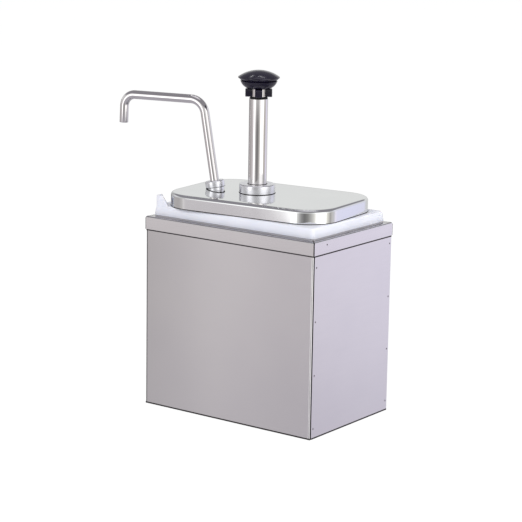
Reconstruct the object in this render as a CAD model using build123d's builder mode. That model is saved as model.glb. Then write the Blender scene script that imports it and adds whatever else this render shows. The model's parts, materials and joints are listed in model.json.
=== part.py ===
"""Condiment pump dispenser.

A folded stainless casing holds a white plastic container by its rim. A polished lid lies on
that rim and carries a spring-returned piston pump: the plunger tube slides in a long cylinder,
two ball valves let the sauce pass one way only, and a leaning pipe takes it from the pump's
foot up through the lid to the bent spout.

Millimetres, +Z up. The origin is the middle of the casing's underside, +X runs along the
casing's long side and -Y is the front. The lid lies loose on the container and is turned by
lid_turn, so every piece that it carries is placed in the lid's own frame.
"""
import os
from math import cos, radians, sin, sqrt, tan

from build123d import *

# ---------------------------------------------------------------- casing
casing_length = 220.0
casing_depth = 146.0
casing_height = 207.0
sheet = 0.8  # thickness of every casing sheet
fold_radius = 1.6  # outside radius of a folded edge
seam = 0.05  # gap between two sheets laid on each other
corner_step = 1.4  # the end panels stop this far short of the folded corners
panel_flange = 14.0  # return flange on each end of the front and back panels
base_flange = 12.0  # upturned edge of the base plate
rail_height = 14.0  # outer skirt of the top rails
ledge_width = 13.0  # flat top of the rails, which carries the container
rail_lip = 5.0  # edge turned down along the inside of the ledge

# ---------------------------------------------------------------- container
rim_end_inset = 7.3  # the rim stands this far in from the casing's ends
rim_side_inset = 7.5  # and from its front and back
rim_height = 12.2  # from the ledge to the rim's top
rim_corner = 4.0
rim_width = 10.4  # flat top of the rim, from its outer edge to the opening
rim_wall = 2.2
rim_flare = 2.0  # the skirt spreads by this much on each side towards its foot
rim_edge_radius = 1.2
foot_rebate = 1.0  # the rim's lower edge steps in by this much
foot_rebate_height = 1.6
container_wall = 2.0
container_floor = 2.0
container_clearance = 12.0  # from the underside of the casing to the container
container_draft = 7.0  # how much narrower the container is at its floor, each side
container_corner = 18.0
pouring_lip_height = 10.4
pouring_lip_length = 17.0
pouring_lip_top = 9.4  # length of the lip's level top, each way from the corner
lip_belly = 0.6  # the lip's falling edges swell by this much

# ---------------------------------------------------------------- lid
lid_end_inset = 3.8  # the lid stands this far in from the rim's ends
lid_side_inset = 1.4  # and from its front and back
lid_corner = 35.0
lid_height = 15.0
lid_sheet = 1.0
lid_edge_radius = 3.4
lid_turn = 5.1  # degrees that the loose lid is turned on the container

# ---------------------------------------------------------------- pump cylinder and its head
pump_x = -15.0  # plunger axis along the lid's long middle line
cylinder_bore = 12.3  # radius
cylinder_wall = 1.0
head_flange_radius = 18.6
head_flange = 3.0
gasket = 1.5
collar_radius = 19.25
collar_height = 9.6
collar_top = 1.5
collar_chamfer = 0.7
bush_flange = 1.3
bush_length = 16.0  # the guide bush's sleeve, from the cylinder's mouth down
screw_fit = 0.05  # radial gap of parts that screw or push together

# ---------------------------------------------------------------- plunger
tube_radius = 10.0
tube_wall = 0.8
tube_top_height = 335.2
slide_fit = 0.06  # radial gap of parts that slide or turn in each other
end_play = 0.3  # gap between parts that stop each other
stop_ring_radius = 11.9
stop_ring_height = 2.0
piston_height = 16.4
piston_disc = 2.4  # thickness of the piston's lands
seal_height = 4.0
seal_lip = 0.9
piston_core = 7.5  # radius at the bottom of the seal grooves
screw_radius = 2.95
screw_head_radius = 5.0
screw_head = 3.2
plug_length = 14.0
tube_chamfer = 0.6

# ---------------------------------------------------------------- return spring
spring_length = 94.4
spring_radius = 10.0  # to the middle of the wire
spring_wire = 0.8  # radius
spring_turns = 11
washer = 1.5
washer_bore = 6.4

# ---------------------------------------------------------------- pump foot and inlet valve
foot_height = 24.0  # the foot's underside above the casing's underside
foot_radius = 16.6
foot_chamfer = 1.5
inlet_bore = 4.5
inlet_length = 7.0
inlet_ball_radius = 6.0
inlet_lift = 3.2
inlet_chamber = 8.5
cage = 2.0
cage_hole = 2.1
cage_hole_ring = 5.9
cage_holes = 6
foot_socket = 11.5
passage = 2.3  # radius of the way from the foot to the discharge pipe
boss_radius = 7.5
boss_rise = 50.0  # length of the leaning boss
pipe_socket = 12.0

# ---------------------------------------------------------------- discharge pipe and spout
spout_out = 48.8  # from the plunger's axis to the spout's axis, on the lid's top
spout_turn = 7.0  # degrees from the lid's long middle line towards the front
spout_lean = 9.7  # degrees from upright, away from the plunger
pipe_radius = 4.75
pipe_wall = 0.8
barrel_radius = 7.4
barrel_rise = 5.4  # the fitting's top above the lid, along its axis
barrel_drop = 30.0
outlet_socket = 11.0
outlet_seat = 2.0
outlet_bore = 3.3
outlet_ball_radius = 4.2
outlet_chamber = 5.2
outlet_lift = 1.9
pin_radius = 0.8
ring_radius = 0.82  # section of the O-ring
ring_groove = 2.0
nut_radius = 10.5
nut_height = 7.1
nut_lip = 1.6
nut_chamfer = 0.8
ferrule_radius = 6.8
wedge_radius = 9.2
spout_height = 329.0  # middle of the level run
spout_run = 94.6
spout_drop = 31.1
tip_lean = 2.3  # degrees
riser_bend = 17.0
tip_bend = 13.0

# ---------------------------------------------------------------- knob
knob_washer = 1.6
knob_washer_radius = 9.0
hub_radius = 8.0
hub_height = 8.4
lug_reach = 14.2
lug_width = 8.0
lugs = 4
lug_turn = 31.0  # degrees from the lid's long side to the first lug
bowl_bottom_radius = 11.0
bowl_radius = 19.7
bowl_height = 8.6
bowl_bulge = 1.6
cap_underside = 3.0
cap_radius = 22.0
cap_rim = 0.8
cap_dome = 7.2
knob_wall = 2.0
knob_groove = 0.6
knob_spigot = 2.4
knob_boss = 5.5
stud_in_plug = 11.0

# ---------------------------------------------------------------- heights and frames worked out
body_length = casing_length - 2 * (sheet + seam)
body_depth = casing_depth - 2 * (sheet + seam)
panel_top = casing_height - fold_radius
front_length = body_length - 2 * (sheet + seam)

rim_length = casing_length - 2 * rim_end_inset
rim_depth = casing_depth - 2 * rim_side_inset
rim_top = casing_height + rim_height
lid_length = rim_length - 2 * lid_end_inset
lid_depth = rim_depth - 2 * lid_side_inset
lid_top = rim_top + lid_height
lid_under = lid_top - lid_sheet

lid_frame = Plane.XY.rotated((0, 0, lid_turn))


def lid_point(along, height):
    """A point over the lid's long middle line, in the casing's frame."""
    return Vector(along * cos(radians(lid_turn)), along * sin(radians(lid_turn)), height)


pump_axis = Axis(lid_point(pump_x, 0), (0, 0, 1))
pump_section = Plane(pump_axis.position, x_dir=lid_frame.x_dir, z_dir=-lid_frame.y_dir)


def pump_level(height):
    """The level plane across the plunger's axis, turned with the lid."""
    return Plane(lid_point(pump_x, height), x_dir=lid_frame.x_dir, z_dir=(0, 0, 1))


# the spout, its fitting and its pipe lie in one upright plane through the plunger's axis
spout_heading = radians(180 + lid_turn + spout_turn)
spout_way = Vector(cos(spout_heading), sin(spout_heading), 0)
upward = Vector(0, 0, 1)


def spout_point(out, height):
    """A point of that plane, out from the plunger's axis."""
    return pump_axis.position + spout_way * out + upward * height


spout_frame = Plane(
    spout_point(spout_out, lid_top),
    x_dir=upward * sin(radians(spout_lean)) - spout_way * cos(radians(spout_lean)),
    z_dir=upward * cos(radians(spout_lean)) + spout_way * sin(radians(spout_lean)),
)
spout_axis = Axis(spout_frame.origin, spout_frame.z_dir)
spout_section = Plane(spout_frame.origin, x_dir=spout_frame.x_dir, z_dir=-spout_frame.y_dir)

cylinder_radius = cylinder_bore + cylinder_wall
mouth = lid_top + collar_height - collar_top - bush_flange  # the cylinder's upper end
bush_end = mouth - bush_length
inlet_seat_height = foot_height + inlet_length
inlet_ball_height = inlet_seat_height + sqrt(inlet_ball_radius**2 - inlet_bore**2) + seam
cage_under = inlet_ball_height + inlet_ball_radius + inlet_lift + end_play
cylinder_end = cage_under + cage
spring_foot = cylinder_end + end_play
washer_under = spring_foot + spring_length + end_play
piston_under = washer_under + washer + seam
tube_end = piston_under + piston_height

# ================================================================ casing


def folded_section(points):
    """Section of a folded sheet. The points run along its outer side, metal on their left."""
    with BuildSketch() as section:
        with BuildLine():
            FilletPolyline(points, radius=fold_radius)
            offset(amount=sheet, side=Side.LEFT)
        make_face()
    return section.sketch


# Front and back panels: one sheet each, both ends folded back inside the end panels.
panel_line = [
    (-front_length / 2, -body_depth / 2 + panel_flange),
    (-front_length / 2, -body_depth / 2),
    (front_length / 2, -body_depth / 2),
    (front_length / 2, -body_depth / 2 + panel_flange),
]
with BuildPart() as front_panel:
    with BuildSketch():
        add(folded_section(panel_line))
    extrude(amount=panel_top)

with BuildPart() as back_panel:
    with BuildSketch():
        add(folded_section(panel_line).rotate(Axis.Z, 180))
    extrude(amount=panel_top)

# End panels: flat sheets welded over the flanges of the front and back panels.
end_width = body_depth - 2 * corner_step
with BuildPart() as right_end_panel:
    with BuildSketch(Plane.YZ.offset(body_length / 2 - sheet)):
        Rectangle(end_width, panel_top, align=(Align.CENTER, Align.MIN))
    extrude(amount=sheet)

with BuildPart() as left_end_panel:
    with BuildSketch(Plane.YZ.offset(-body_length / 2)):
        Rectangle(end_width, panel_top, align=(Align.CENTER, Align.MIN))
    extrude(amount=sheet)

# Base plate: a shallow tray, its edges turned up inside the panels.
base_length = front_length - 2 * (sheet + seam)
base_depth = body_depth - 2 * (sheet + seam)
with BuildPart() as base_plate:
    with BuildSketch():
        Rectangle(base_length, base_depth)
    extrude(amount=base_flange)
    fillet(base_plate.edges().filter_by(Axis.Z), fold_radius)
    fillet(base_plate.edges().group_by(Axis.Z)[0], fold_radius)
    offset(amount=-sheet, openings=base_plate.faces().sort_by(Axis.Z)[-1])

# Top rails: an outer skirt, the ledge and a turned-down lip, mitred at the corners.
rail_line = [
    (ledge_width, casing_height - rail_lip),
    (ledge_width, casing_height),
    (0, casing_height),
    (0, casing_height - rail_height),
]


def mitre(reach):
    """Plan of a rail that runs along X: its outer side on y = 0, its ends cut at 45 degrees."""
    with BuildSketch() as plan:
        with BuildLine():
            Polyline(
                (-reach, 0),
                (reach, 0),
                (reach - ledge_width, ledge_width),
                (-reach + ledge_width, ledge_width),
                close=True,
            )
        make_face()
    return plan.sketch


def rail_side(length, depth, turn):
    """Frame of one rail: +X along its outer edge and +Y towards the casing's middle."""
    turned = Plane.XY.rotated((0, 0, turn))
    return Plane(turned.from_local_coords((0, -depth / 2, 0)), x_dir=turned.x_dir), length / 2


rail_sides = {
    "front_rail": rail_side(casing_length, casing_depth, 0),
    "right_rail": rail_side(casing_depth, casing_length, 90),
    "back_rail": rail_side(casing_length, casing_depth, 180),
    "left_rail": rail_side(casing_depth, casing_length, 270),
}
rails = {}
for rail_name, (side, reach) in rail_sides.items():
    end = Plane(side.from_local_coords((-reach, 0, 0)), x_dir=side.y_dir, z_dir=side.x_dir)
    with BuildPart() as rail:
        with BuildSketch(end):
            add(folded_section(rail_line))
        extrude(amount=2 * reach)
        with BuildSketch(side):
            add(mitre(reach - seam / 2))
        extrude(amount=casing_height, mode=Mode.INTERSECT)
    rails[rail_name] = rail

# ================================================================ container
body_top_length = rim_length - 2 * (rim_width - container_wall)
body_top_depth = rim_depth - 2 * (rim_width - container_wall)
with BuildPart() as container:
    # the rim is a channel, open below: its outer skirt stands on the ledge
    with BuildSketch(Plane.XY.offset(casing_height)):
        RectangleRounded(
            rim_length + 2 * rim_flare,
            rim_depth + 2 * rim_flare,
            rim_corner + rim_flare,
        )
    with BuildSketch(Plane.XY.offset(rim_top)):
        RectangleRounded(rim_length, rim_depth, rim_corner)
    loft()
    fillet(container.edges().group_by(Axis.Z)[-1], rim_edge_radius)
    channel_inset = rim_wall + foot_rebate
    with BuildSketch(Plane.XY.offset(casing_height)):
        RectangleRounded(
            rim_length + 2 * rim_flare - 2 * channel_inset,
            rim_depth + 2 * rim_flare - 2 * channel_inset,
            rim_corner,
        )
    with BuildSketch(Plane.XY.offset(rim_top - rim_wall)):
        RectangleRounded(
            rim_length - 2 * channel_inset,
            rim_depth - 2 * channel_inset,
            rim_corner - foot_rebate,
        )
    loft(mode=Mode.SUBTRACT)
    with BuildSketch(Plane.XY.offset(casing_height)):
        RectangleRounded(
            rim_length + 2 * rim_flare,
            rim_depth + 2 * rim_flare,
            rim_corner + rim_flare,
        )
        RectangleRounded(
            rim_length + 2 * rim_flare - 2 * foot_rebate,
            rim_depth + 2 * rim_flare - 2 * foot_rebate,
            rim_corner + rim_flare - foot_rebate,
            mode=Mode.SUBTRACT,
        )
    extrude(amount=foot_rebate_height, mode=Mode.SUBTRACT)
    # the body hangs from the rim and narrows towards its floor
    with BuildSketch(Plane.XY.offset(container_clearance)):
        RectangleRounded(
            body_top_length - 2 * container_draft,
            body_top_depth - 2 * container_draft,
            container_corner,
        )
    with BuildSketch(Plane.XY.offset(rim_top)):
        RectangleRounded(body_top_length, body_top_depth, container_corner)
    loft()
    # the pouring lip stands on the skirt at the front left corner
    with BuildSketch(Plane.XY.offset(rim_top - rim_edge_radius)):
        RectangleRounded(rim_length, rim_depth, rim_corner)
        RectangleRounded(
            rim_length - 2 * rim_wall,
            rim_depth - 2 * rim_wall,
            rim_corner - rim_wall,
            mode=Mode.SUBTRACT,
        )
        with Locations((-rim_length / 2, -rim_depth / 2)):
            Rectangle(2 * pouring_lip_length, 2 * pouring_lip_length, mode=Mode.INTERSECT)
    extrude(amount=pouring_lip_height + rim_edge_radius)
    for lip_plane, lip_edge in (
        (Plane.XZ.offset(rim_depth / 2), -rim_length / 2),
        (Plane.YZ.offset(-rim_length / 2), -rim_depth / 2),
    ):
        with BuildSketch(lip_plane):
            with BuildLine():
                low = (lip_edge + pouring_lip_length, rim_top)
                high = (lip_edge + pouring_lip_top, rim_top + pouring_lip_height)
                SagittaArc(high, low, lip_belly)
                Polyline(low, (low[0] + 1, rim_top), (low[0] + 1, high[1]), high)
            make_face()
        extrude(amount=pouring_lip_length, both=True, mode=Mode.SUBTRACT)
    # the inside
    with BuildSketch(Plane.XY.offset(container_clearance + container_floor)):
        RectangleRounded(
            body_top_length - 2 * container_draft - 2 * container_wall,
            body_top_depth - 2 * container_draft - 2 * container_wall,
            container_corner - container_wall,
        )
    with BuildSketch(Plane.XY.offset(rim_top)):
        RectangleRounded(
            body_top_length - 2 * container_wall,
            body_top_depth - 2 * container_wall,
            container_corner - container_wall,
        )
    loft(mode=Mode.SUBTRACT)

# ================================================================ lid
with BuildPart() as lid:
    with BuildSketch(lid_frame.offset(rim_top)):
        RectangleRounded(lid_length, lid_depth, lid_corner)
    extrude(amount=lid_height)
    fillet(lid.edges().group_by(Axis.Z)[-1], lid_edge_radius)
    offset(amount=-lid_sheet, openings=lid.faces().sort_by(Axis.Z)[0])
    with BuildSketch(pump_level(lid_under)):
        Circle(cylinder_radius + screw_fit)
    extrude(amount=2 * lid_sheet, mode=Mode.SUBTRACT)
    with BuildSketch(spout_frame.offset(-lid_height / 2)):
        Circle(barrel_radius + screw_fit)
    extrude(amount=lid_height, mode=Mode.SUBTRACT)

# ================================================================ pump head on the lid
with BuildPart() as pump_cylinder:
    with BuildSketch(pump_section):
        with BuildLine():
            Polyline(
                (cylinder_bore, cylinder_end),
                (cylinder_radius, cylinder_end),
                (cylinder_radius, lid_under - gasket - head_flange),
                (head_flange_radius, lid_under - gasket - head_flange),
                (head_flange_radius, lid_under - gasket),
                (cylinder_radius, lid_under - gasket),
                (cylinder_radius, mouth),
                (cylinder_bore, mouth),
                close=True,
            )
        make_face()
    revolve(axis=pump_axis)

with BuildPart() as head_gasket:
    with BuildSketch(pump_level(lid_under - gasket)):
        Circle(head_flange_radius)
        Circle(cylinder_radius + screw_fit, mode=Mode.SUBTRACT)
    extrude(amount=gasket)

with BuildPart() as collar:
    with BuildSketch(pump_level(lid_top)):
        Circle(collar_radius)
    extrude(amount=collar_height)
    chamfer(collar.edges().group_by(Axis.Z)[-1], collar_chamfer)
    chamfer(collar.edges().group_by(Axis.Z)[0], collar_chamfer / 2)
    with BuildSketch(pump_level(lid_top)):
        Circle(cylinder_radius + screw_fit)
    extrude(amount=collar_height - collar_top, mode=Mode.SUBTRACT)
    with BuildSketch(pump_level(lid_top)):
        Circle(tube_radius + end_play)
    extrude(amount=collar_height, mode=Mode.SUBTRACT)

with BuildPart() as guide_bush:
    with BuildSketch(pump_section):
        with BuildLine():
            Polyline(
                (tube_radius + slide_fit, bush_end),
                (cylinder_bore - screw_fit, bush_end),
                (cylinder_bore - screw_fit, mouth),
                (cylinder_radius, mouth),
                (cylinder_radius, mouth + bush_flange),
                (tube_radius + slide_fit, mouth + bush_flange),
                close=True,
            )
        make_face()
    revolve(axis=pump_axis)

# ================================================================ plunger
stop_top = bush_end - end_play
plug_radius = tube_radius - tube_wall - screw_fit
with BuildPart() as plunger_tube:
    with BuildSketch(pump_level(tube_end)):
        Circle(tube_radius)
        Circle(tube_radius - tube_wall, mode=Mode.SUBTRACT)
    extrude(amount=tube_top_height - tube_end)
    chamfer(plunger_tube.edges().group_by(Axis.Z)[-1].sort_by(Edge.length)[-1], tube_chamfer)

with BuildPart() as stop_ring:
    with BuildSketch(pump_level(stop_top - stop_ring_height)):
        Circle(stop_ring_radius)
        Circle(tube_radius + screw_fit, mode=Mode.SUBTRACT)
    extrude(amount=stop_ring_height)

# the lower plug is welded into the tube and takes the piston's screw
with BuildPart() as lower_plug:
    with BuildSketch(pump_level(tube_end)):
        Circle(plug_radius)
        Circle(screw_radius + screw_fit, mode=Mode.SUBTRACT)
    extrude(amount=plug_length)

# the upper plug closes the tube and takes the knob's stud
with BuildPart() as upper_plug:
    with BuildSketch(pump_section):
        with BuildLine():
            Polyline(
                (screw_radius + screw_fit, tube_top_height - plug_length),
                (plug_radius, tube_top_height - plug_length),
                (plug_radius, tube_top_height),
                (knob_washer_radius, tube_top_height),
                (knob_washer_radius - knob_washer / 2, tube_top_height + knob_washer),
                (screw_radius + screw_fit, tube_top_height + knob_washer),
                close=True,
            )
        make_face()
    revolve(axis=pump_axis)

land = cylinder_bore - end_play
groove_1 = piston_under + piston_disc
groove_2 = tube_end - piston_disc - seal_height
with BuildPart() as piston:
    with BuildSketch(pump_section):
        with BuildLine():
            Polyline(
                (screw_radius + end_play, piston_under + screw_head),
                (screw_head_radius + end_play, piston_under + screw_head),
                (screw_head_radius + end_play, piston_under),
                (land, piston_under),
                (land, groove_1),
                (piston_core, groove_1),
                (piston_core, groove_1 + seal_height),
                (land, groove_1 + seal_height),
                (land, groove_2),
                (piston_core, groove_2),
                (piston_core, groove_2 + seal_height),
                (land, groove_2 + seal_height),
                (land, tube_end),
                (screw_radius + end_play, tube_end),
                close=True,
            )
        make_face()
    revolve(axis=pump_axis)


def cup_seal(groove, way):
    """Ring with a U section in a piston groove. Its lips point down for way -1, up for +1."""
    middle = groove + seal_height / 2
    back = middle - way * (seal_height / 2 - seam)
    front = middle + way * (seal_height / 2 - seam)
    root = back + way * 1.4 * seal_lip
    inner = piston_core + seam
    outer = cylinder_bore - slide_fit
    with BuildPart() as seal:
        with BuildSketch(pump_section):
            with BuildLine():
                Polyline(
                    (inner, back),
                    (outer - seal_lip / 3, back),
                    (outer, front),
                    (outer - seal_lip, front),
                    (outer - 1.3 * seal_lip, root),
                    (inner + seal_lip, root),
                    (inner + seal_lip, front),
                    (inner, front),
                    close=True,
                )
            make_face()
        revolve(axis=pump_axis)
    return seal


lower_seal = cup_seal(groove_1, -1)
upper_seal = cup_seal(groove_2, 1)

with BuildPart() as piston_screw:
    with BuildSketch(pump_level(piston_under + screw_head)):
        Circle(screw_head_radius)
    extrude(amount=-screw_head + end_play)
    with BuildSketch(pump_level(piston_under + end_play)):
        RegularPolygon(screw_radius, 6)
    extrude(amount=screw_head / 2, mode=Mode.SUBTRACT)
    with BuildSketch(pump_level(piston_under + screw_head)):
        Circle(screw_radius)
    extrude(amount=piston_height - screw_head + plug_length - end_play)

# ================================================================ return spring
with BuildPart() as thrust_washer:
    with BuildSketch(pump_level(washer_under)):
        Circle(spring_radius + spring_wire + seam)
        Circle(washer_bore, mode=Mode.SUBTRACT)
    extrude(amount=washer)

coil_start = spring_foot + spring_wire
coil_rise = spring_length - 2 * spring_wire
with BuildPart() as return_spring:
    with BuildLine() as coil:
        Helix(
            pitch=coil_rise / spring_turns,
            height=coil_rise,
            radius=spring_radius,
            center=lid_point(pump_x, coil_start),
        )
    with BuildSketch(Plane(coil.line @ 0, z_dir=coil.line % 0)):
        RegularPolygon(spring_wire, 6)
    sweep(is_frenet=True)

# ================================================================ pump foot and inlet valve
foot_top = cylinder_end + foot_socket
with BuildPart() as pump_foot:
    with BuildSketch(pump_level(foot_height)):
        Circle(foot_radius)
    extrude(amount=foot_top - foot_height)
    chamfer(pump_foot.edges().group_by(Axis.Z)[0], foot_chamfer)
    # the leaning boss takes the discharge pipe
    boss_start = foot_height + foot_chamfer + boss_radius * sin(radians(spout_lean)) - lid_top
    boss_start /= cos(radians(spout_lean))
    with BuildSketch(spout_frame.offset(boss_start)):
        Circle(boss_radius)
    extrude(amount=boss_rise)
    # socket for the cylinder, valve chamber and inlet
    with BuildSketch(pump_level(cage_under)):
        Circle(cylinder_radius + screw_fit)
    extrude(amount=foot_socket + boss_rise, mode=Mode.SUBTRACT)
    with BuildSketch(pump_level(inlet_seat_height)):
        Circle(inlet_chamber)
    extrude(amount=cage_under - inlet_seat_height, mode=Mode.SUBTRACT)
    with BuildSketch(pump_level(foot_height)):
        Circle(inlet_bore)
    extrude(amount=inlet_length, mode=Mode.SUBTRACT)
    # the way out: across from the chamber, then up the leaning boss
    cross_height = cage_under - passage - 2 * sheet
    cross_start = (cross_height - lid_top) / cos(radians(spout_lean))
    cross_out = spout_out - (lid_top - cross_height) * tan(radians(spout_lean))
    with BuildSketch(Plane(spout_point(0, cross_height), x_dir=upward, z_dir=spout_way)):
        Circle(passage)
    extrude(amount=cross_out, mode=Mode.SUBTRACT)
    with BuildSketch(spout_frame.offset(cross_start - passage / 2)):
        Circle(passage)
    extrude(amount=boss_rise, mode=Mode.SUBTRACT)
    with BuildSketch(spout_frame.offset(boss_start + boss_rise)):
        Circle(pipe_radius + screw_fit)
    extrude(amount=-pipe_socket, mode=Mode.SUBTRACT)

with BuildPart() as inlet_cage:
    with BuildSketch(pump_level(cage_under)):
        Circle(cylinder_radius)
        with PolarLocations(cage_hole_ring, cage_holes):
            Circle(cage_hole, mode=Mode.SUBTRACT)
    extrude(amount=cage)

with BuildPart() as inlet_ball:
    with Locations(lid_point(pump_x, inlet_ball_height)):
        Sphere(inlet_ball_radius)

# ================================================================ discharge pipe and fitting
pipe_start = boss_start + boss_rise - pipe_socket + seam
outlet_floor = -barrel_drop + outlet_socket
with BuildPart() as discharge_pipe:
    with BuildSketch(spout_frame.offset(pipe_start)):
        Circle(pipe_radius)
        Circle(pipe_radius - pipe_wall, mode=Mode.SUBTRACT)
    extrude(amount=outlet_floor - seam - pipe_start)

seat_top = outlet_floor + outlet_seat
outlet_ball_rise = seat_top + sqrt(outlet_ball_radius**2 - outlet_bore**2) + seam
pin_rise = outlet_ball_rise + outlet_ball_radius + outlet_lift + end_play + pin_radius
spout_start = pin_rise + pin_radius + end_play
groove_radius = pipe_radius + slide_fit + 2 * ring_radius + screw_fit
with BuildPart() as outlet_fitting:
    with BuildSketch(spout_section):
        with BuildLine():
            Polyline(
                (pipe_radius + screw_fit, -barrel_drop),
                (barrel_radius, -barrel_drop),
                (barrel_radius, barrel_rise),
                (groove_radius, barrel_rise),
                (groove_radius, barrel_rise - ring_groove),
                (pipe_radius + slide_fit, barrel_rise - ring_groove),
                (pipe_radius + slide_fit, spout_start),
                (outlet_chamber, spout_start),
                (outlet_chamber, seat_top),
                (outlet_bore, seat_top),
                (outlet_bore, outlet_floor),
                (pipe_radius + screw_fit, outlet_floor),
                close=True,
            )
        make_face()
    revolve(axis=spout_axis)
    with BuildSketch(spout_section.offset(-barrel_radius)):
        with Locations((0, pin_rise)):
            Circle(pin_radius + screw_fit)
    extrude(amount=2 * barrel_radius, mode=Mode.SUBTRACT)

with BuildPart() as outlet_pin:
    with BuildSketch(spout_section.offset(-barrel_radius + seam)):
        with Locations((0, pin_rise)):
            Circle(pin_radius)
    extrude(amount=2 * (barrel_radius - seam))

with BuildPart() as outlet_ball:
    with Locations(spout_frame.from_local_coords((0, 0, outlet_ball_rise))):
        Sphere(outlet_ball_radius)

# rubber wedge that fills the leaning nut's gap to the level lid
nut_under = nut_radius * tan(radians(spout_lean)) + seam
with BuildPart() as wedge_seal:
    with BuildSketch(spout_frame.offset(nut_under)):
        Circle(wedge_radius)
        Circle(barrel_radius + screw_fit, mode=Mode.SUBTRACT)
    extrude(amount=-2 * nut_under)
    split(bisect_by=lid_frame.offset(lid_top), keep=Keep.TOP)

nut_top = nut_under + nut_height
with BuildPart() as spout_nut:
    with BuildSketch(spout_frame.offset(nut_under)):
        Circle(nut_radius)
    extrude(amount=nut_height)
    chamfer(spout_nut.edges().group_by(spout_axis)[-1], nut_chamfer)
    with BuildSketch(spout_frame.offset(nut_under)):
        Circle(barrel_radius + screw_fit)
    extrude(amount=nut_height - nut_lip, mode=Mode.SUBTRACT)
    with BuildSketch(spout_frame.offset(nut_under)):
        Circle(pipe_radius + slide_fit)
    extrude(amount=nut_height, mode=Mode.SUBTRACT)

with BuildPart() as spout_ring:
    with BuildSketch(spout_section):
        with Locations((pipe_radius + slide_fit + ring_radius, barrel_rise - ring_groove / 2)):
            Circle(ring_radius)
    revolve(axis=spout_axis)

# ================================================================ spout
with BuildPart() as spout_ferrule:
    with BuildSketch(spout_frame.offset(barrel_rise + seam)):
        Circle(ferrule_radius)
        Circle(pipe_radius + screw_fit, mode=Mode.SUBTRACT)
    extrude(amount=nut_top - nut_lip - barrel_rise - 2 * seam)

riser_out = spout_out + (spout_height - lid_top) * tan(radians(spout_lean))
run_out = riser_out + spout_run
tip_out = run_out + spout_drop * sin(radians(tip_lean))
tip_height = spout_height - spout_drop * cos(radians(tip_lean))
with BuildPart() as spout_tube:
    with BuildLine():
        FilletPolyline(
            spout_frame.from_local_coords((0, 0, spout_start + seam)),
            spout_point(riser_out, spout_height),
            spout_point(run_out, spout_height),
            spout_point(tip_out, tip_height),
            radius=[riser_bend, tip_bend],
        )
    with BuildSketch(spout_frame.offset(spout_start + seam)):
        Circle(pipe_radius)
        Circle(pipe_radius - pipe_wall, mode=Mode.SUBTRACT)
    sweep()

# ================================================================ knob
hub_start = tube_top_height + knob_washer + seam
bowl_start = hub_start + hub_height
bowl_top = bowl_start + bowl_height
bowl_inside = bowl_radius - knob_wall
with BuildPart() as knob_bowl:
    with BuildSketch(pump_section):
        with BuildLine():
            foot_line = Polyline(
                (0, hub_start),
                (hub_radius, hub_start),
                (hub_radius, bowl_start),
                (bowl_bottom_radius, bowl_start),
            )
            side_line = SagittaArc(foot_line @ 1, (bowl_radius, bowl_top), -bowl_bulge)
            Polyline(
                side_line @ 1,
                (bowl_inside, bowl_top),
                (bowl_inside, bowl_top - knob_spigot - seam),
                (bowl_inside - knob_wall, bowl_start + knob_wall * 2),
                (bowl_bottom_radius - knob_wall, bowl_start + knob_wall),
                (knob_boss, bowl_start + knob_wall),
                (knob_boss, bowl_top),
                (0, bowl_top),
                (0, hub_start),
            )
        make_face()
    revolve(axis=pump_axis)
    with BuildSketch(pump_level(hub_start)):
        with PolarLocations(lug_reach / 2, lugs, start_angle=lug_turn):
            Rectangle(lug_reach, lug_width)
    extrude(amount=hub_height)
    with BuildSketch(pump_level(hub_start)):
        Circle(screw_radius + screw_fit)
    extrude(amount=bowl_top - hub_start - knob_wall, mode=Mode.SUBTRACT)

with BuildPart() as knob_stud:
    with BuildSketch(pump_level(tube_top_height - stud_in_plug)):
        Circle(screw_radius)
    extrude(amount=bowl_top - knob_wall - end_play - tube_top_height + stud_in_plug)

cap_start = bowl_top + seam
cap_edge = cap_start + cap_underside
cap_top = cap_edge + cap_rim + cap_dome
spigot_radius = bowl_inside - screw_fit
with BuildPart() as knob_cap:
    with BuildSketch(pump_section):
        with BuildLine():
            dome = TangentArc((0, cap_top), (cap_radius, cap_edge + cap_rim), tangent=(1, 0))
            Polyline(
                dome @ 1,
                (cap_radius, cap_edge),
                (bowl_radius - knob_groove, cap_start),
                (spigot_radius, cap_start),
                (spigot_radius, cap_start - knob_spigot),
                (spigot_radius - knob_wall / 2, cap_start - knob_spigot),
                (spigot_radius - knob_wall / 2, cap_start),
                (spigot_radius - knob_wall / 2, cap_edge),
            )
            inner = TangentArc(
                (0, cap_top - knob_wall), (spigot_radius - knob_wall / 2, cap_edge), tangent=(1, 0)
            )
            Line(inner @ 0, dome @ 0)
        make_face()
    revolve(axis=pump_axis)

assembly = {
    "front_panel": front_panel,
    "back_panel": back_panel,
    "left_end_panel": left_end_panel,
    "right_end_panel": right_end_panel,
    "base_plate": base_plate,
    **rails,
    "container": container,
    "lid": lid,
    "head_gasket": head_gasket,
    "pump_cylinder": pump_cylinder,
    "collar": collar,
    "guide_bush": guide_bush,
    "pump_foot": pump_foot,
    "inlet_cage": inlet_cage,
    "inlet_ball": inlet_ball,
    "discharge_pipe": discharge_pipe,
    "outlet_fitting": outlet_fitting,
    "outlet_pin": outlet_pin,
    "outlet_ball": outlet_ball,
    "wedge_seal": wedge_seal,
    "spout_ring": spout_ring,
    "spout_nut": spout_nut,
    "spout_ferrule": spout_ferrule,
    "spout_tube": spout_tube,
    "return_spring": return_spring,
    "thrust_washer": thrust_washer,
    "piston": piston,
    "lower_seal": lower_seal,
    "upper_seal": upper_seal,
    "piston_screw": piston_screw,
    "lower_plug": lower_plug,
    "plunger_tube": plunger_tube,
    "stop_ring": stop_ring,
    "upper_plug": upper_plug,
    "knob_stud": knob_stud,
    "knob_bowl": knob_bowl,
    "knob_cap": knob_cap,
}
os.makedirs("parts", exist_ok=True)
for node, piece in assembly.items():
    piece.part.label = node
    export_step(piece.part, f"parts/{node}.step")
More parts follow.
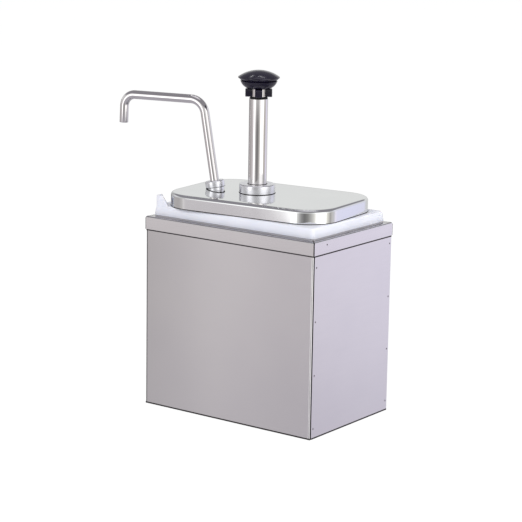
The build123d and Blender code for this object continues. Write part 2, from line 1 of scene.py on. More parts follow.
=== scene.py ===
"""Looks of the condiment pump dispenser.

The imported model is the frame. Pieces that show are rebuilt here as smooth surfaces of the same
size and dressed; pieces that lie inside keep their own mesh and get a finish. Sizes are in
millimetres and MM turns them into Blender's metres. Origin: middle of the casing's underside,
+X along the casing's long side, -Y the front, +Z up.
"""
from __future__ import annotations

import json
import logging
from dataclasses import dataclass, field
from enum import Enum
from math import cos, radians, sin, tan

import bmesh
import bpy
import numpy as np
from mathutils import Matrix


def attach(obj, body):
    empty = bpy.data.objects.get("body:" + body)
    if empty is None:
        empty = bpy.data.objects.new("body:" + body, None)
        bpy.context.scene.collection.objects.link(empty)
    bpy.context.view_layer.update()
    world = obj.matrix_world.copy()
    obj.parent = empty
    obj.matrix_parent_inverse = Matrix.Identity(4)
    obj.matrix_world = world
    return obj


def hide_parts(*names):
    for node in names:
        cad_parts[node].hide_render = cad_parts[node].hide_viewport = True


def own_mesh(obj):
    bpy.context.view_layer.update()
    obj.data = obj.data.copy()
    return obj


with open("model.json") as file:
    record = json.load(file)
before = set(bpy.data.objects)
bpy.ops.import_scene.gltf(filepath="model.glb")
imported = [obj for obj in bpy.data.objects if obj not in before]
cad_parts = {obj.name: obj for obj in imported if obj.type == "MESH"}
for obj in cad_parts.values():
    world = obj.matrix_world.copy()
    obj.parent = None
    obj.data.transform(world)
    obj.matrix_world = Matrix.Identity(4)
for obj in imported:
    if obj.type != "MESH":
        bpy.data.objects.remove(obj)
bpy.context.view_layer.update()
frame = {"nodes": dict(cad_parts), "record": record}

log = logging.getLogger("dispenser")

Points = np.ndarray
Pair = tuple[float, float]
Triple = tuple[float, float, float]
Colour = tuple[float, float, float, float]

MM = 0.001
UP = np.array([0.0, 0.0, 1.0])
CREASE = 35.0  # edges that turn by more degrees than this stay sharp
BLUNT_CREASE = 50.0  # the same, on pieces whose bends have few facets
MERGE = 1e-6  # points closer than this are one, in metres
EMPTY = 1e-7  # faces narrower than this are dropped, in metres
BEAD_SIDES = 12
BREAK_STEPS = 3  # facets in a broken edge


class Body(str, Enum):
    """The rigid bodies that a piece can ride on."""

    CASING = "casing"
    CONTAINER = "container"
    LID = "lid"
    SPOUT = "spout"
    PLUNGER = "plunger"
    SPRING_SEAT = "spring_seat"


# ---------------------------------------------------------------- directions, frames and lines


def unit(angle: float) -> Triple:
    """The level direction at an angle in degrees from +X."""
    return (cos(radians(angle)), sin(radians(angle)), 0.0)


def normed(ways: Points) -> Points:
    """The same directions at unit length."""
    return ways / np.linalg.norm(ways, axis=-1, keepdims=True)


def full_turn(points: int) -> Points:
    """Angles spread evenly round a circle, the last one short of the first."""
    return np.linspace(0, 2 * np.pi, points, endpoint=False)


def quarter_turn(points: int) -> Points:
    """Angles from 0 to a right angle, both of them in."""
    return np.linspace(0, np.pi / 2, points)


def length_along(line: Points) -> Points:
    """How far each point of a line is from its first point, along the line."""
    return np.concatenate([[0], np.cumsum(np.linalg.norm(np.diff(line, axis=0), axis=1))])


@dataclass(frozen=True)
class Axes:
    """A right-handed frame: an origin in millimetres and its x and z directions."""

    origin: Triple = (0.0, 0.0, 0.0)
    x: Triple = (1.0, 0.0, 0.0)
    z: Triple = (0.0, 0.0, 1.0)

    def place(self, local: Points) -> Points:
        """Carries points from this frame to the casing's.

        Args:
            local: array whose last axis holds x, y, z in millimetres.

        Returns:
            The origin plus each coordinate times its direction.
        """
        return np.array(self.origin) + local @ np.stack([self.x, np.cross(self.z, self.x), self.z])


def rounded_line(corners: list[Pair], radii: tuple[float, ...], steps: int) -> Points:
    """An open outline with rounded corners.

    An arc tangent to both runs takes each inner corner's place. It starts r * tan(half the
    turn) before the corner, and goes on from there by r * sin a ahead and r * (1 - cos a)
    towards the side that the line turns to.

    Args:
        corners: the outline's corners, in order.
        radii: one radius for each inner corner.
        steps: spans in each arc.

    Returns:
        Array (points, 2).
    """
    points = np.array(corners, float)
    pieces = [points[:1]]
    for before, corner, after, radius in zip(points[:-2], points[1:-1], points[2:], radii):
        ahead, onward = normed(corner - before), normed(after - corner)
        left = np.array([-ahead[1], ahead[0]])
        turn = np.arctan2(left @ onward, ahead @ onward)
        start = corner - ahead * radius * tan(abs(turn) / 2)
        angle = np.linspace(0, abs(turn), steps + 1)[:, None]
        aside = np.sign(turn) * left
        pieces.append(start + radius * (np.sin(angle) * ahead + (1 - np.cos(angle)) * aside))
    return np.concatenate([*pieces, points[-1:]])


def level_rings(half: Pair, corner: float, spread: Points | float, height: Points | float,
                steps: int = 10) -> Points:
    """Level rounded rectangles: one plan, spread outwards by some distance at each height.

    A corner's centre stays as the plan spreads. A point is that centre plus the corner's radius
    and the spread, times the outward direction, for the four corners in turn, so the straight
    sides are the spans between two corners.

    Args:
        half: the plan's half length and half width.
        corner: its corner radius.
        spread: how far each ring stands outside the plan.
        height: each ring's height.
        steps: spans in each corner.

    Returns:
        Array (rings, points around, 3), counter-clockwise seen from above.
    """
    rows = np.broadcast_arrays(np.atleast_1d(spread), np.atleast_1d(height))
    spread, height = (row[:, None] for row in rows)
    angle = np.concatenate([quarter_turn(steps + 1) + k * np.pi / 2 for k in range(4)])
    side_x, side_y = np.repeat([[1, -1, -1, 1], [1, 1, -1, -1]], steps + 1, axis=1)
    x = side_x * (half[0] - corner) + (corner + spread) * np.cos(angle)
    y = side_y * (half[1] - corner) + (corner + spread) * np.sin(angle)
    return np.stack([x, y, height + 0 * x], axis=-1)


def circles(radius: Points, height: Points, angle: Points) -> Points:
    """Circles about the z axis, a row for each: a point is (r cos a, r sin a, h).

    Args:
        radius: each circle's radius.
        height: each circle's height.
        angle: the angles of its points, in radians.

    Returns:
        Array (circles, angles, 3).
    """
    radius, height = radius[:, None], height[:, None]
    return np.stack([radius * np.cos(angle), radius * np.sin(angle), height + 0 * angle], axis=-1)


# ---------------------------------------------------------------- meshes


def surface(name: str, grid: Points, close_rows: bool = False, close_columns: bool = False,
            pattern: Points | None = None, crease: float = CREASE) -> bpy.types.Object:
    """A mesh object from one or more grids of points, one quad for each cell.

    Args:
        name: the piece's name.
        grid: array (rows, columns, 3) in millimetres, in the casing's frame, or with one more
            axis in front for several patches of the same size.
        close_rows: joins the last row to the first.
        close_columns: joins the last column to the first.
        pattern: array like grid, in millimetres, kept as the attribute "pattern" for finishes
            that follow the surface. The grid itself where it is left out.
        crease: edges that turn by more than this many degrees stay sharp.

    Returns:
        The new object, at the origin.
    """
    rows, columns = grid.shape[-3:-1]
    patch = np.arange(grid.size // (rows * columns * 3))[:, None, None] * rows * columns
    index = np.arange(rows * columns).reshape(rows, columns)
    if close_rows:
        index = np.concatenate([index, index[:1]])
    if close_columns:
        index = np.concatenate([index, index[:, :1]], axis=1)
    cells = np.stack([index[:-1, :-1], index[:-1, 1:], index[1:, 1:], index[1:, :-1]], axis=-1)
    quads = (cells.reshape(1, -1, 4) + patch).reshape(-1, 4)
    mesh = bpy.data.meshes.new(name)
    mesh.from_pydata((grid.reshape(-1, 3) * MM).tolist(), [], quads.tolist())
    follow = mesh.attributes.new("pattern", "FLOAT_VECTOR", "POINT")
    laid = (grid if pattern is None else pattern) * MM
    follow.data.foreach_set("vector", laid.ravel().astype(np.float32))
    finish_mesh(mesh, crease, shell=close_rows or close_columns)
    piece = bpy.data.objects.new(name, mesh)
    bpy.context.scene.collection.objects.link(piece)
    return piece


def finish_mesh(mesh: bpy.types.Mesh, crease: float, shell: bool) -> None:
    """Merges doubled points, drops empty faces, turns the rest outwards and shades them smooth.

    Args:
        mesh: the mesh, changed in place.
        crease: edges that turn by more than this many degrees stay sharp.
        shell: whether it closes round a volume, which comes out negative if it is inside out.
    """
    work = bmesh.new()
    work.from_mesh(mesh)
    bmesh.ops.remove_doubles(work, verts=work.verts, dist=MERGE)
    bmesh.ops.dissolve_degenerate(work, dist=EMPTY, edges=work.edges)
    bmesh.ops.recalc_face_normals(work, faces=work.faces)
    if shell and work.calc_volume(signed=True) < 0:
        bmesh.ops.reverse_faces(work, faces=work.faces)
    work.to_mesh(mesh)
    work.free()
    mesh.polygons.foreach_set("use_smooth", np.ones(len(mesh.polygons), bool))
    mesh.set_sharp_from_angle(angle=radians(crease))
    mesh.update()


def revolve(name: str, profile: Points, axes: Axes, around: int = 96, closed: bool = True,
            crease: float = CREASE) -> bpy.types.Object:
    """A surface of revolution: a profile of radius r and height h, turned about the z axis.

    A point is (r cos a, r sin a, h). The pattern is the same with the length along the profile
    in place of h, so lines that follow it run along the axis.

    Args:
        name: the piece's name.
        profile: array (points, 2) of radii and heights in millimetres.
        axes: the frame that it is turned in.
        around: points round the axis.
        closed: joins the profile's last point to its first.
        crease: edges that turn by more than this many degrees stay sharp.

    Returns:
        The new object.
    """
    radius, height = profile.T
    grid = axes.place(circles(radius, height, full_turn(around)))
    pattern = circles(radius, length_along(profile), full_turn(around))
    return surface(name, grid, close_rows=closed, close_columns=True, pattern=pattern,
                   crease=crease)


def sheet(name: str, face: Points, back: Points, crease: float = CREASE) -> bpy.types.Object:
    """A wall between two grids of the same size, closed all round.

    Rows run up the face and then down the back. At both ends a column that folds the back onto
    the face is added, so the ends are closed too.

    Args:
        name: the piece's name.
        face: array (rows, columns, 3), one side of the wall.
        back: array like face, its other side.
        crease: edges that turn by more than this many degrees stay sharp.

    Returns:
        The new object.
    """
    loop, fold = np.concatenate([face, back[::-1]]), np.concatenate([face, face[::-1]])
    grid = np.concatenate([fold[:, :1], loop, fold[:, -1:]], axis=1)
    return surface(name, grid, close_rows=True, crease=crease)


def tube(name: str, centre: Points, tangent: Points, normal: Points, radius: Points,
         around: int) -> bpy.types.Object:
    """A round section carried along a path.

    A point is C(s) + r(s) (cos a N + sin a (T x N)), N being square to the path.
    The pattern is (r cos a, r sin a, length along the path).

    Args:
        name: the piece's name.
        centre: array (points, 3), the path in millimetres.
        tangent: array (points, 3), its unit direction.
        normal: array (points, 3), or one for the whole path, square to it.
        radius: array (points), the section's radius in millimetres; 0 at an end closes it.
        around: points round the section.

    Returns:
        The new object.
    """
    angle = full_turn(around)
    side = np.cross(tangent, normal)[:, None]
    normal = np.broadcast_to(normal, centre.shape)[:, None]
    out = np.cos(angle)[:, None] * normal + np.sin(angle)[:, None] * side
    pattern = circles(radius, length_along(centre), angle)
    return surface(name, centre[:, None] + radius[:, None, None] * out, close_columns=True,
                   pattern=pattern)


def beads(name: str, runs: Points, side: Points, out: Points, width: float,
          rise: float) -> bpy.types.Object:
    """Low oval beads along straight runs, sunk to their middle in the sheet that they lie on.

    A point is the run's end plus width / 2 cos a along side plus rise sin a outwards, and each
    end closes on the run itself.

    Args:
        name: the piece's name.
        runs: array (beads, 2, 3) of the two ends of each.
        side: array (beads, 3), the direction across each bead along the sheet. Where it is
            longer than 1, that bead is as much wider.
        out: array (beads, 3), the sheet's outward direction under each.
        width: the bead's width in millimetres.
        rise: how far it stands proud, in millimetres.

    Returns:
        One object that holds all the beads.
    """
    angle = full_turn(BEAD_SIDES)[:, None]
    section = np.cos(angle) * width / 2 * side[:, None] + np.sin(angle) * rise * out[:, None]
    size = np.array([0.0, 1.0, 1.0, 0.0])[:, None, None]
    return surface(name, runs[:, [0, 0, 1, 1], None] + size * section[:, None],
                   close_columns=True)


# ---------------------------------------------------------------- finishes


def linear(code: str) -> Colour:
    """Turns a colour from sRGB to linear.

    Args:
        code: the colour as "#RRGGBB".

    Returns:
        Its linear red, green and blue, and an alpha of 1.
    """
    values = np.array([int(code[k:k + 2], 16) for k in (1, 3, 5)]) / 255
    curve = np.where(values <= 0.04045, values / 12.92, ((values + 0.055) / 1.055) ** 2.4)
    return (*curve.tolist(), 1.0)


def add_node(tree: bpy.types.NodeTree, kind: str, inputs: dict[str | int, object] | None = None,
             stops: list[tuple[float, Colour]] | None = None,
             **settings: object) -> bpy.types.Node:
    """Adds a node, sets its properties, and sets or links its inputs.

    Args:
        tree: the node tree.
        kind: the node's type name.
        inputs: socket name or number to a value, to another node's output, or to a node whose
            first output it takes.
        stops: places from 0 to 1 and their colours, for a node that has a colour band.
        settings: the node's own properties.

    Returns:
        The new node.
    """
    node = tree.nodes.new(kind)
    for key, value in settings.items():
        setattr(node, key, value)
    for number, (place, colour) in enumerate(stops or []):
        band = node.color_ramp.elements
        stop = band[number] if number < 2 else band.new(place)
        stop.position, stop.color = place, colour
    for key, value in (inputs or {}).items():
        if isinstance(value, bpy.types.Node):
            value = value.outputs[0]
        if isinstance(value, bpy.types.NodeSocket):
            tree.links.new(value, node.inputs[key])
        else:
            node.inputs[key].default_value = value
    return node


def empty_tree(owner: bpy.types.Material | bpy.types.World) -> bpy.types.NodeTree:
    """Clears the node tree of a material or a world for nodes of its own.

    Args:
        owner: what the tree belongs to.

    Returns:
        The empty tree.
    """
    owner.use_nodes = True
    owner.node_tree.nodes.clear()
    return owner.node_tree


class Follows(Enum):
    """What a finish's pattern is laid on."""

    PLACE = "the casing's frame"
    SURFACE = "the piece's own pattern attribute"


@dataclass(frozen=True)
class Finish:
    """A finish: a colour that clouds a little, and a grain in the roughness and the relief.

    Lengths are in millimetres. Where the real grain is finer than the eye can part, it is drawn
    as coarse as it needs to show.
    """

    name: str
    light: str
    dark: str
    grain: Triple
    smooth: float
    rough: float
    depth: float
    cloud: float = 40.0
    cloud_depth: float = 0.0
    metal: float = 0.0
    ior: float = 1.5
    under_skin: float = 0.0
    follows: Follows = Follows.PLACE

    def make(self) -> bpy.types.Material:
        """Builds the material.

        Two noises run over the surface: the cloud mixes the two colours, and the grain drives
        the roughness. Both raise the relief by their depths.

        Returns:
            The new material.
        """
        material = bpy.data.materials.new(self.name)
        tree = empty_tree(material)
        if self.follows is Follows.PLACE:
            place = add_node(tree, "ShaderNodeTexCoord").outputs["Object"]
        else:
            follow = add_node(tree, "ShaderNodeAttribute", attribute_name="pattern")
            place = follow.outputs["Vector"]
        lumps = []
        for size, detail in ((self.grain, 4.0), ((self.cloud,) * 3, 2.0)):
            scale = tuple(1 / (v * MM) for v in size)
            spot = add_node(tree, "ShaderNodeMapping", {"Vector": place, "Scale": scale})
            noise = {"Vector": spot, "Scale": 1.0, "Detail": detail}
            lumps.append(add_node(tree, "ShaderNodeTexNoise", noise).outputs["Fac"])
        grain, cloud = lumps
        span = {"From Min": 0.3, "From Max": 0.7}  # where nearly all of a noise lies
        tone = add_node(tree, "ShaderNodeMapRange", {"Value": cloud, **span})
        tints = {"Factor": tone, 6: linear(self.light), 7: linear(self.dark)}
        colour = add_node(tree, "ShaderNodeMix", tints, data_type="RGBA")
        tooth = add_node(tree, "ShaderNodeMapRange", {"Value": grain, **span, "To Min": self.smooth,
                                                      "To Max": self.rough})
        relief = add_node(tree, "ShaderNodeBump", {"Height": grain, "Distance": self.depth * MM})
        if self.cloud_depth > 0:
            swell = {"Height": cloud, "Distance": self.cloud_depth * MM, "Normal": relief}
            relief = add_node(tree, "ShaderNodeBump", swell)
        shader = add_node(tree, "ShaderNodeBsdfPrincipled", {
            "Base Color": colour.outputs[2], "Roughness": tooth, "Normal": relief,
            "Metallic": self.metal, "IOR": self.ior, "Subsurface Weight": self.under_skin,
            "Subsurface Radius": (1.0, 0.9, 0.8), "Subsurface Scale": 1.5 * MM})
        add_node(tree, "ShaderNodeOutputMaterial", {"Surface": shader})
        return material


# Belt-ground stainless: wide soft reflections, with a faint streak along the belt.
BELT_STEEL = Finish("belt-grained stainless sheet", "#D4D2D3", "#D0CED0", (40, 40, 0.8),
                    0.11, 0.16, 0.0006, cloud=90, metal=1)
# Sheet as it comes from the mill, dull and even: the side that nobody grinds.
MILL_STEEL = Finish("mill-finish stainless sheet", "#CFCECF", "#C4C3C4", (1.5, 1.5, 1.5),
                    0.46, 0.58, 0.001, metal=1)
# Buffed stainless: clear reflections that the pressing pulls a little.
BUFFED_STEEL = Finish("buffed stainless sheet", "#DEDFDF", "#D9DADB", (20, 1.5, 20),
                      0.05, 0.09, 0.0002, cloud=60, cloud_depth=0.03, metal=1)
# Turned stainless: bright, blurred by fine rings that the tool left round it.
TURNED_STEEL = Finish("turned stainless", "#EAEAED", "#E2E2E7", (8, 8, 0.5),
                      0.22, 0.30, 0.0006, cloud=9, metal=1, follows=Follows.SURFACE)
# Polished tube: crisp streaks that run the length of it, with the faintest drawing lines.
POLISHED_TUBE = Finish("polished stainless tube", "#DCD9D9", "#D7D4D4", (1.2, 1.2, 80),
                       0.06, 0.10, 0.00004, cloud=60, metal=1, follows=Follows.SURFACE)
# Drawn stainless, not polished: greyer, with soft streaks that run up it.
PLAIN_STEEL = Finish("drawn stainless", "#CBCACB", "#BEBDBE", (1.0, 1.0, 40),
                     0.16, 0.24, 0.0005, metal=1)
# Drawn wire: grey with a dull shine.
SPRING_WIRE = Finish("drawn spring wire", "#A9A8A8", "#949394", (1.0, 1.0, 1.0),
                     0.26, 0.38, 0.003, metal=1)
# The oxide ring that a spot weld leaves: small, dark and matt.
WELD_MARK = Finish("spot-weld oxide", "#6E6768", "#565052", (0.4, 0.4, 0.4),
                   0.4, 0.6, 0.006, cloud=1, metal=1)
# Painted shade for the open joints between sheets and parts, too narrow for light to come out of: a
# dark matt colour on thin beads and rings laid along them.
PAINTED_JOINT_SHADE = Finish("painted joint shade", "#262123", "#1D191B", (1.0, 1.0, 1.0),
                     0.6, 0.8, 0.002)
# Painted shade for the rebate under the white rim, where little light gets in: a grey colour on a
# thin ring laid in it.
PAINTED_REBATE_SHADE = Finish("painted rebate shade", "#ACAAB0", "#A2A0A6", (1.0, 1.0, 1.0),
                      0.6, 0.8, 0.002)
# Injection-moulded polypropylene: white with a little light inside it and a satin skin.
POLYPROPYLENE = Finish("moulded white polypropylene", "#E6E7F0", "#DFE1EB", (0.9, 0.9, 0.9),
                       0.32, 0.42, 0.004, ior=1.49, under_skin=0.25)
# Natural acetal: ivory white, turned to a soft sheen.
ACETAL = Finish("turned natural acetal", "#EEEDEA", "#E8E7E3", (0.9, 0.9, 0.9),
                0.34, 0.46, 0.004, ior=1.48)
# Gloss black phenolic moulding: deep blue-black, with clear highlights.
PHENOLIC = Finish("gloss black phenolic moulding", "#161226", "#100D1D", (1.5, 1.5, 1.5),
                  0.13, 0.18, 0.0001)
# Nitrile rubber: black and matt.
NITRILE = Finish("black nitrile rubber", "#1D1D1E", "#161617", (0.6, 0.6, 0.6),
                 0.55, 0.7, 0.006, ior=1.52)

# CAD nodes that show another finish than their slot's.
OTHER_FINISHES = {"wedge_seal": "turned_steel", "base_plate": "mill_steel"}


@dataclass
class Finishes:
    """One material for each of the record's slots, and those that only show here."""

    casing_steel: bpy.types.Material = field(default_factory=BELT_STEEL.make)
    lid_steel: bpy.types.Material = field(default_factory=BUFFED_STEEL.make)
    turned_steel: bpy.types.Material = field(default_factory=TURNED_STEEL.make)
    tube_steel: bpy.types.Material = field(default_factory=POLISHED_TUBE.make)
    hardware_steel: bpy.types.Material = field(default_factory=PLAIN_STEEL.make)
    spring_steel: bpy.types.Material = field(default_factory=SPRING_WIRE.make)
    white_plastic: bpy.types.Material = field(default_factory=POLYPROPYLENE.make)
    pump_plastic: bpy.types.Material = field(default_factory=ACETAL.make)
    black_plastic: bpy.types.Material = field(default_factory=PHENOLIC.make)
    seal_rubber: bpy.types.Material = field(default_factory=NITRILE.make)
    weld_mark: bpy.types.Material = field(default_factory=WELD_MARK.make)
    mill_steel: bpy.types.Material = field(default_factory=MILL_STEEL.make)
    # materials of painted shade, for the joints and for the rim's rebate
    joint_shade: bpy.types.Material = field(default_factory=PAINTED_JOINT_SHADE.make)
    rebate_shade: bpy.types.Material = field(default_factory=PAINTED_REBATE_SHADE.make)

    def dress(self, piece: bpy.types.Object, body: Body, slot: str, *nodes: str,
              look: str = "") -> None:
        """Gives a new piece its finish and body, and stands it in for the nodes that it copies.

        Args:
            piece: the new piece.
            body: the body that it rides on.
            slot: the record's slot, which is also its material's name here.
            nodes: CAD nodes that it replaces.
            look: the material's name, where it isn't the slot's.
        """
        piece.data.materials.append(getattr(self, look or slot))
        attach(piece, body.value)
        if nodes:
            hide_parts(*nodes)
        log.info("%s: %d points on %s", piece.name, len(piece.data.vertices), body.value)

    def dress_nodes(self) -> None:
        """Gives every CAD node its finish; those that a new piece replaces are hidden when it is
        dressed.
        """
        for part in frame["record"]["subparts"]:
            mesh = frame["nodes"][part["node"]].data
            look = OTHER_FINISHES.get(part["node"], part["material_slot"])
            mesh.materials.clear()
            mesh.materials.append(getattr(self, look))


# ---------------------------------------------------------------- casing


@dataclass
class Casing:
    """The folded sheet casing: four panels, four mitred top rails and their spot welds."""

    length: float = 220.0
    depth: float = 146.0
    height: float = 207.0
    sheet: float = 0.8
    fold: float = 1.6
    fold_steps: int = 8
    seam: float = 0.05
    soft_edge: float = 0.2
    soft_steps: int = 3
    soft_angle: float = 40.0
    corner_step: float = 1.4
    flange: float = 14.0
    rail_height: float = 14.0
    ledge: float = 13.0
    lip: float = 5.0
    mitre_gap: float = 0.9
    mitre_fill: float = 0.6  # half of the painted mitre shade's thickness, as a share of the gap
    # the dark beads of painted shade along the casing's joints
    joint_width: float = 1.6
    joint_rise: float = 0.04
    joint_tuck: float = 0.1  # how far the painted shade lines reach up behind the rails
    joint_foot: float = 0.4  # height at which the upright ones start
    end_joint: float = 1.3  # how much wider the painted shade lines over the end panels are
    weld_radius: float = 0.95
    weld_steps: int = 20
    weld_crease: float = 60.0
    # a weld's rings from its middle out: the share of its radius, and how far it stands proud
    weld_rings: tuple[Pair, ...] = ((0, 0.012), (0.55, 0.012), (0.8, 0.03), (1, 0), (0, -0.02))
    # each column of welds on an end panel: its place across, its lowest and its highest weld
    weld_columns: tuple[Triple, ...] = ((-66.8, 11.0, 180.3), (69.0, 11.0, 184.5))
    welds_down: int = 4
    rail_welds: tuple[Triple, ...] = ((110.0, -50.0, 201.7),)

    @property
    def body_length(self) -> float:
        """Outside length of the panels, inside the rails."""
        return self.length - 2 * (self.sheet + self.seam)

    @property
    def body_depth(self) -> float:
        """Outside depth of the panels, inside the rails."""
        return self.depth - 2 * (self.sheet + self.seam)

    @property
    def panel_top(self) -> float:
        """Height of the panels' upper edge."""
        return self.height - self.fold

    def folded(self, outer: list[Pair], inner: list[Pair]) -> list[Points]:
        """A twice folded section's two sides, with the inner bends tighter by the sheet.

        Args:
            outer: the corners of its outer side.
            inner: those of its inner side.

        Returns:
            The two outlines.
        """
        return [rounded_line(line, (radius, radius), self.fold_steps)
                for line, radius in ((outer, self.fold), (inner, self.fold - self.sheet))]

    def folded_panel(self, name: str, way: int) -> bpy.types.Object:
        """The front or back panel: its plan, folded at both ends, raised straight up.

        Args:
            name: the piece's name.
            way: -1 for the front and 1 for the back.

        Returns:
            The panel.
        """
        half, front = self.body_length / 2 - self.sheet - self.seam, self.body_depth / 2
        inside, under, back = half - self.sheet, front - self.sheet, front - self.flange
        outer = [(-half, back), (-half, front), (half, front), (half, back)]
        inner = [(-inside, back), (-inside, under), (inside, under), (inside, back)]
        height = np.array([0.0, self.panel_top])
        grids = []
        for plan in self.folded(outer, inner):
            x, y = plan.T[:, :, None]
            grids.append(np.stack(np.broadcast_arrays(x, y * way, height), axis=-1))
        return sheet(name, *grids)

    def end_panel(self, name: str, way: int) -> bpy.types.Object:
        """A flat end panel: it covers the back panel's fold and stops short of the front's.

        Args:
            name: the piece's name.
            way: 1 for the right and -1 for the left.

        Returns:
            The panel.
        """
        half = self.body_depth / 2
        y, z = np.meshgrid([self.corner_step - half, half], [0.0, self.panel_top], indexing="ij")
        face = np.stack([np.full_like(y, way * self.body_length / 2), y, z], axis=-1)
        panel = sheet(name, face, face - np.array([way * self.sheet, 0, 0]))
        bevel = panel.modifiers.new("soft edges", "BEVEL")
        bevel.width, bevel.segments = self.soft_edge * MM, self.soft_steps
        bevel.limit_method, bevel.angle_limit = "ANGLE", radians(self.soft_angle)
        bevel.harden_normals = True
        return panel

    def rail(self, name: str, turn: float, length: float, depth: float) -> bpy.types.Object:
        """One top rail: the folded section carried along its side, its ends cut at 45 degrees.

        A section point lies inset from the outer edge, so its ends are at the half length less
        that inset.

        Args:
            name: the piece's name.
            turn: how far the side is turned from the front, in degrees.
            length: outside length of the side.
            depth: the casing's size square to it.

        Returns:
            The rail.
        """
        top, low = self.height, self.height - self.rail_height
        end, under, inside = top - self.lip, top - self.sheet, self.ledge - self.sheet
        outer = [(self.ledge, end), (self.ledge, top), (0.0, top), (0.0, low)]
        inner = [(inside, end), (inside, under), (self.sheet, under), (self.sheet, low)]
        grids = []
        for section in self.folded(outer, inner):
            inset, height = section.T[:, :, None]
            x = (length / 2 - self.mitre_gap - inset) * np.array([-1, 1])
            run = np.stack(np.broadcast_arrays(x, inset - depth / 2, height), axis=-1)
            grids.append(Axes(x=unit(turn)).place(run))
        return sheet(name, *grids)

    def marks(self, name: str, places: Points, out: Points) -> bpy.types.Object:
        """Round weld marks, each a low ring about a flat dimple, a hair proud of the sheet.

        A point is the mark's middle plus r cos a across, r sin a up and the ring's rise outwards.

        Args:
            name: the piece's name.
            places: array (marks, 3) of their middles.
            out: the sheet's outward direction.

        Returns:
            One object that holds all the marks.
        """
        angle = full_turn(self.weld_steps)[:, None]
        share, rise = np.array(self.weld_rings).T[:, :, None, None]
        circle = np.cos(angle) * np.cross(out, UP) + np.sin(angle) * UP
        disc = share * self.weld_radius * circle + rise * out
        return surface(name, places[:, None, None] + disc, close_columns=True,
                       crease=self.weld_crease)

    def spot_welds(self, name: str, way: int) -> bpy.types.Object:
        """Weld marks in a column down each edge of an end panel.

        Args:
            name: the piece's name.
            way: 1 for the right and -1 for the left.

        Returns:
            One object that holds all the marks.
        """
        across, low, high = np.array(self.weld_columns).T[:, :, None]
        up = low + (high - low) * np.linspace(0, 1, self.welds_down)
        rows = np.broadcast_arrays(way * self.body_length / 2, across, up)
        return self.marks(name, np.stack(rows, axis=-1).reshape(-1, 3), np.array([way, 0, 0]))

    def joint_lines(self) -> bpy.types.Object:
        """Painted joint shade: dark beads round the foot, under the rails, and up the end panels'
        front edges.

        The back ones stop short of the corners, so that no two lines share a point.

        Returns:
            One object that holds all the lines.
        """
        x, y, foot = self.body_length / 2, self.body_depth / 2, self.joint_width / 2
        edge_x, edge_y = x - self.sheet / 2, y - self.corner_step
        under = self.height - self.rail_height - foot + self.joint_tuck
        plan = (((-x, -y), (x, -y)), ((x, -edge_y), (x, y)), ((edge_x, y), (-edge_x, y)),
                ((-x, y), (-x, -edge_y)))
        runs = [((*a, height), (*b, height)) for height in (foot, under) for a, b in plan]
        runs += [((edge, -edge_y, self.joint_foot), (edge, -edge_y, under))
                 for edge in (edge_x, -edge_x)]
        side = [UP] * 4 + [UP, self.end_joint * UP] * 2 + [(1, 0, 0)] * 2
        out = [(0, -1, 0), (1, 0, 0), (0, 1, 0), (-1, 0, 0)] * 2 + [(0, -1, 0)] * 2
        return beads("casing_painted_shade_lines", np.array(runs), np.array(side), np.array(out),
                     self.joint_width, self.joint_rise)

    def mitre_lines(self) -> bpy.types.Object:
        """Painted shade in the mitre gaps between the rails at the four corners: dark beads,
        upright and flush.

        Returns:
            One object that holds all the lines.
        """
        thick = self.mitre_fill * self.mitre_gap
        x, y = self.length / 2 - thick, self.depth / 2 - thick
        low, high = self.height - self.rail_height, self.height - self.fold
        runs = np.array([[(a, b, low), (a, b, high)]
                         for a, b in ((x, -y), (x, y), (-x, y), (-x, -y))])
        return beads("casing_painted_mitre_shade", runs, np.array([(1, 0, 0)] * 4),
                     np.array([(0, 1, 0)] * 4), 2 * thick, thick)

    def line(self, piece: bpy.types.Object, finish: bpy.types.Material) -> None:
        """Gives a second finish to the faces whose level normal points to the casing's middle.

        Args:
            piece: a panel of the casing.
            finish: the material of its inner side.
        """
        faces = piece.data.polygons
        normal, centre = np.empty((2, len(faces) * 3))
        faces.foreach_get("normal", normal)
        faces.foreach_get("center", centre)
        inward = (normal * centre).reshape(-1, 3)[:, :2].sum(axis=1) < 0
        piece.data.materials.append(finish)
        faces.foreach_set("material_index", inward.astype(np.int32))

    def build(self, finishes: Finishes) -> None:
        """Builds the casing's pieces and dresses them.

        Args:
            finishes: the materials.
        """
        steel = (Body.CASING, "casing_steel")
        for name, way in (("front_panel", -1), ("back_panel", 1)):
            panel = self.folded_panel(f"{name}_sheet", way)
            finishes.dress(panel, *steel, name)
            self.line(panel, finishes.mill_steel)
        for name, way in (("right_end_panel", 1), ("left_end_panel", -1)):
            panel = self.end_panel(f"{name}_sheet", way)
            finishes.dress(panel, *steel, name)
            self.line(panel, finishes.mill_steel)
            finishes.dress(self.spot_welds(f"{name}_welds", way), *steel, look="weld_mark")
        sides = (self.length, self.depth, self.length, self.depth, self.length)
        for number, name in enumerate(("front_rail", "right_rail", "back_rail", "left_rail")):
            rail = self.rail(f"{name}_sheet", 90 * number, *sides[number:number + 2])
            finishes.dress(rail, *steel, name)
        welds = self.marks("right_rail_welds", np.array(self.rail_welds), np.array([1, 0, 0]))
        finishes.dress(welds, *steel, look="weld_mark")
        # dark beads of painted shade along the casing's joints
        finishes.dress(self.joint_lines(), *steel, look="joint_shade")
        # dark beads of painted shade in the mitre gaps
        finishes.dress(self.mitre_lines(), *steel, look="joint_shade")


# ---------------------------------------------------------------- container


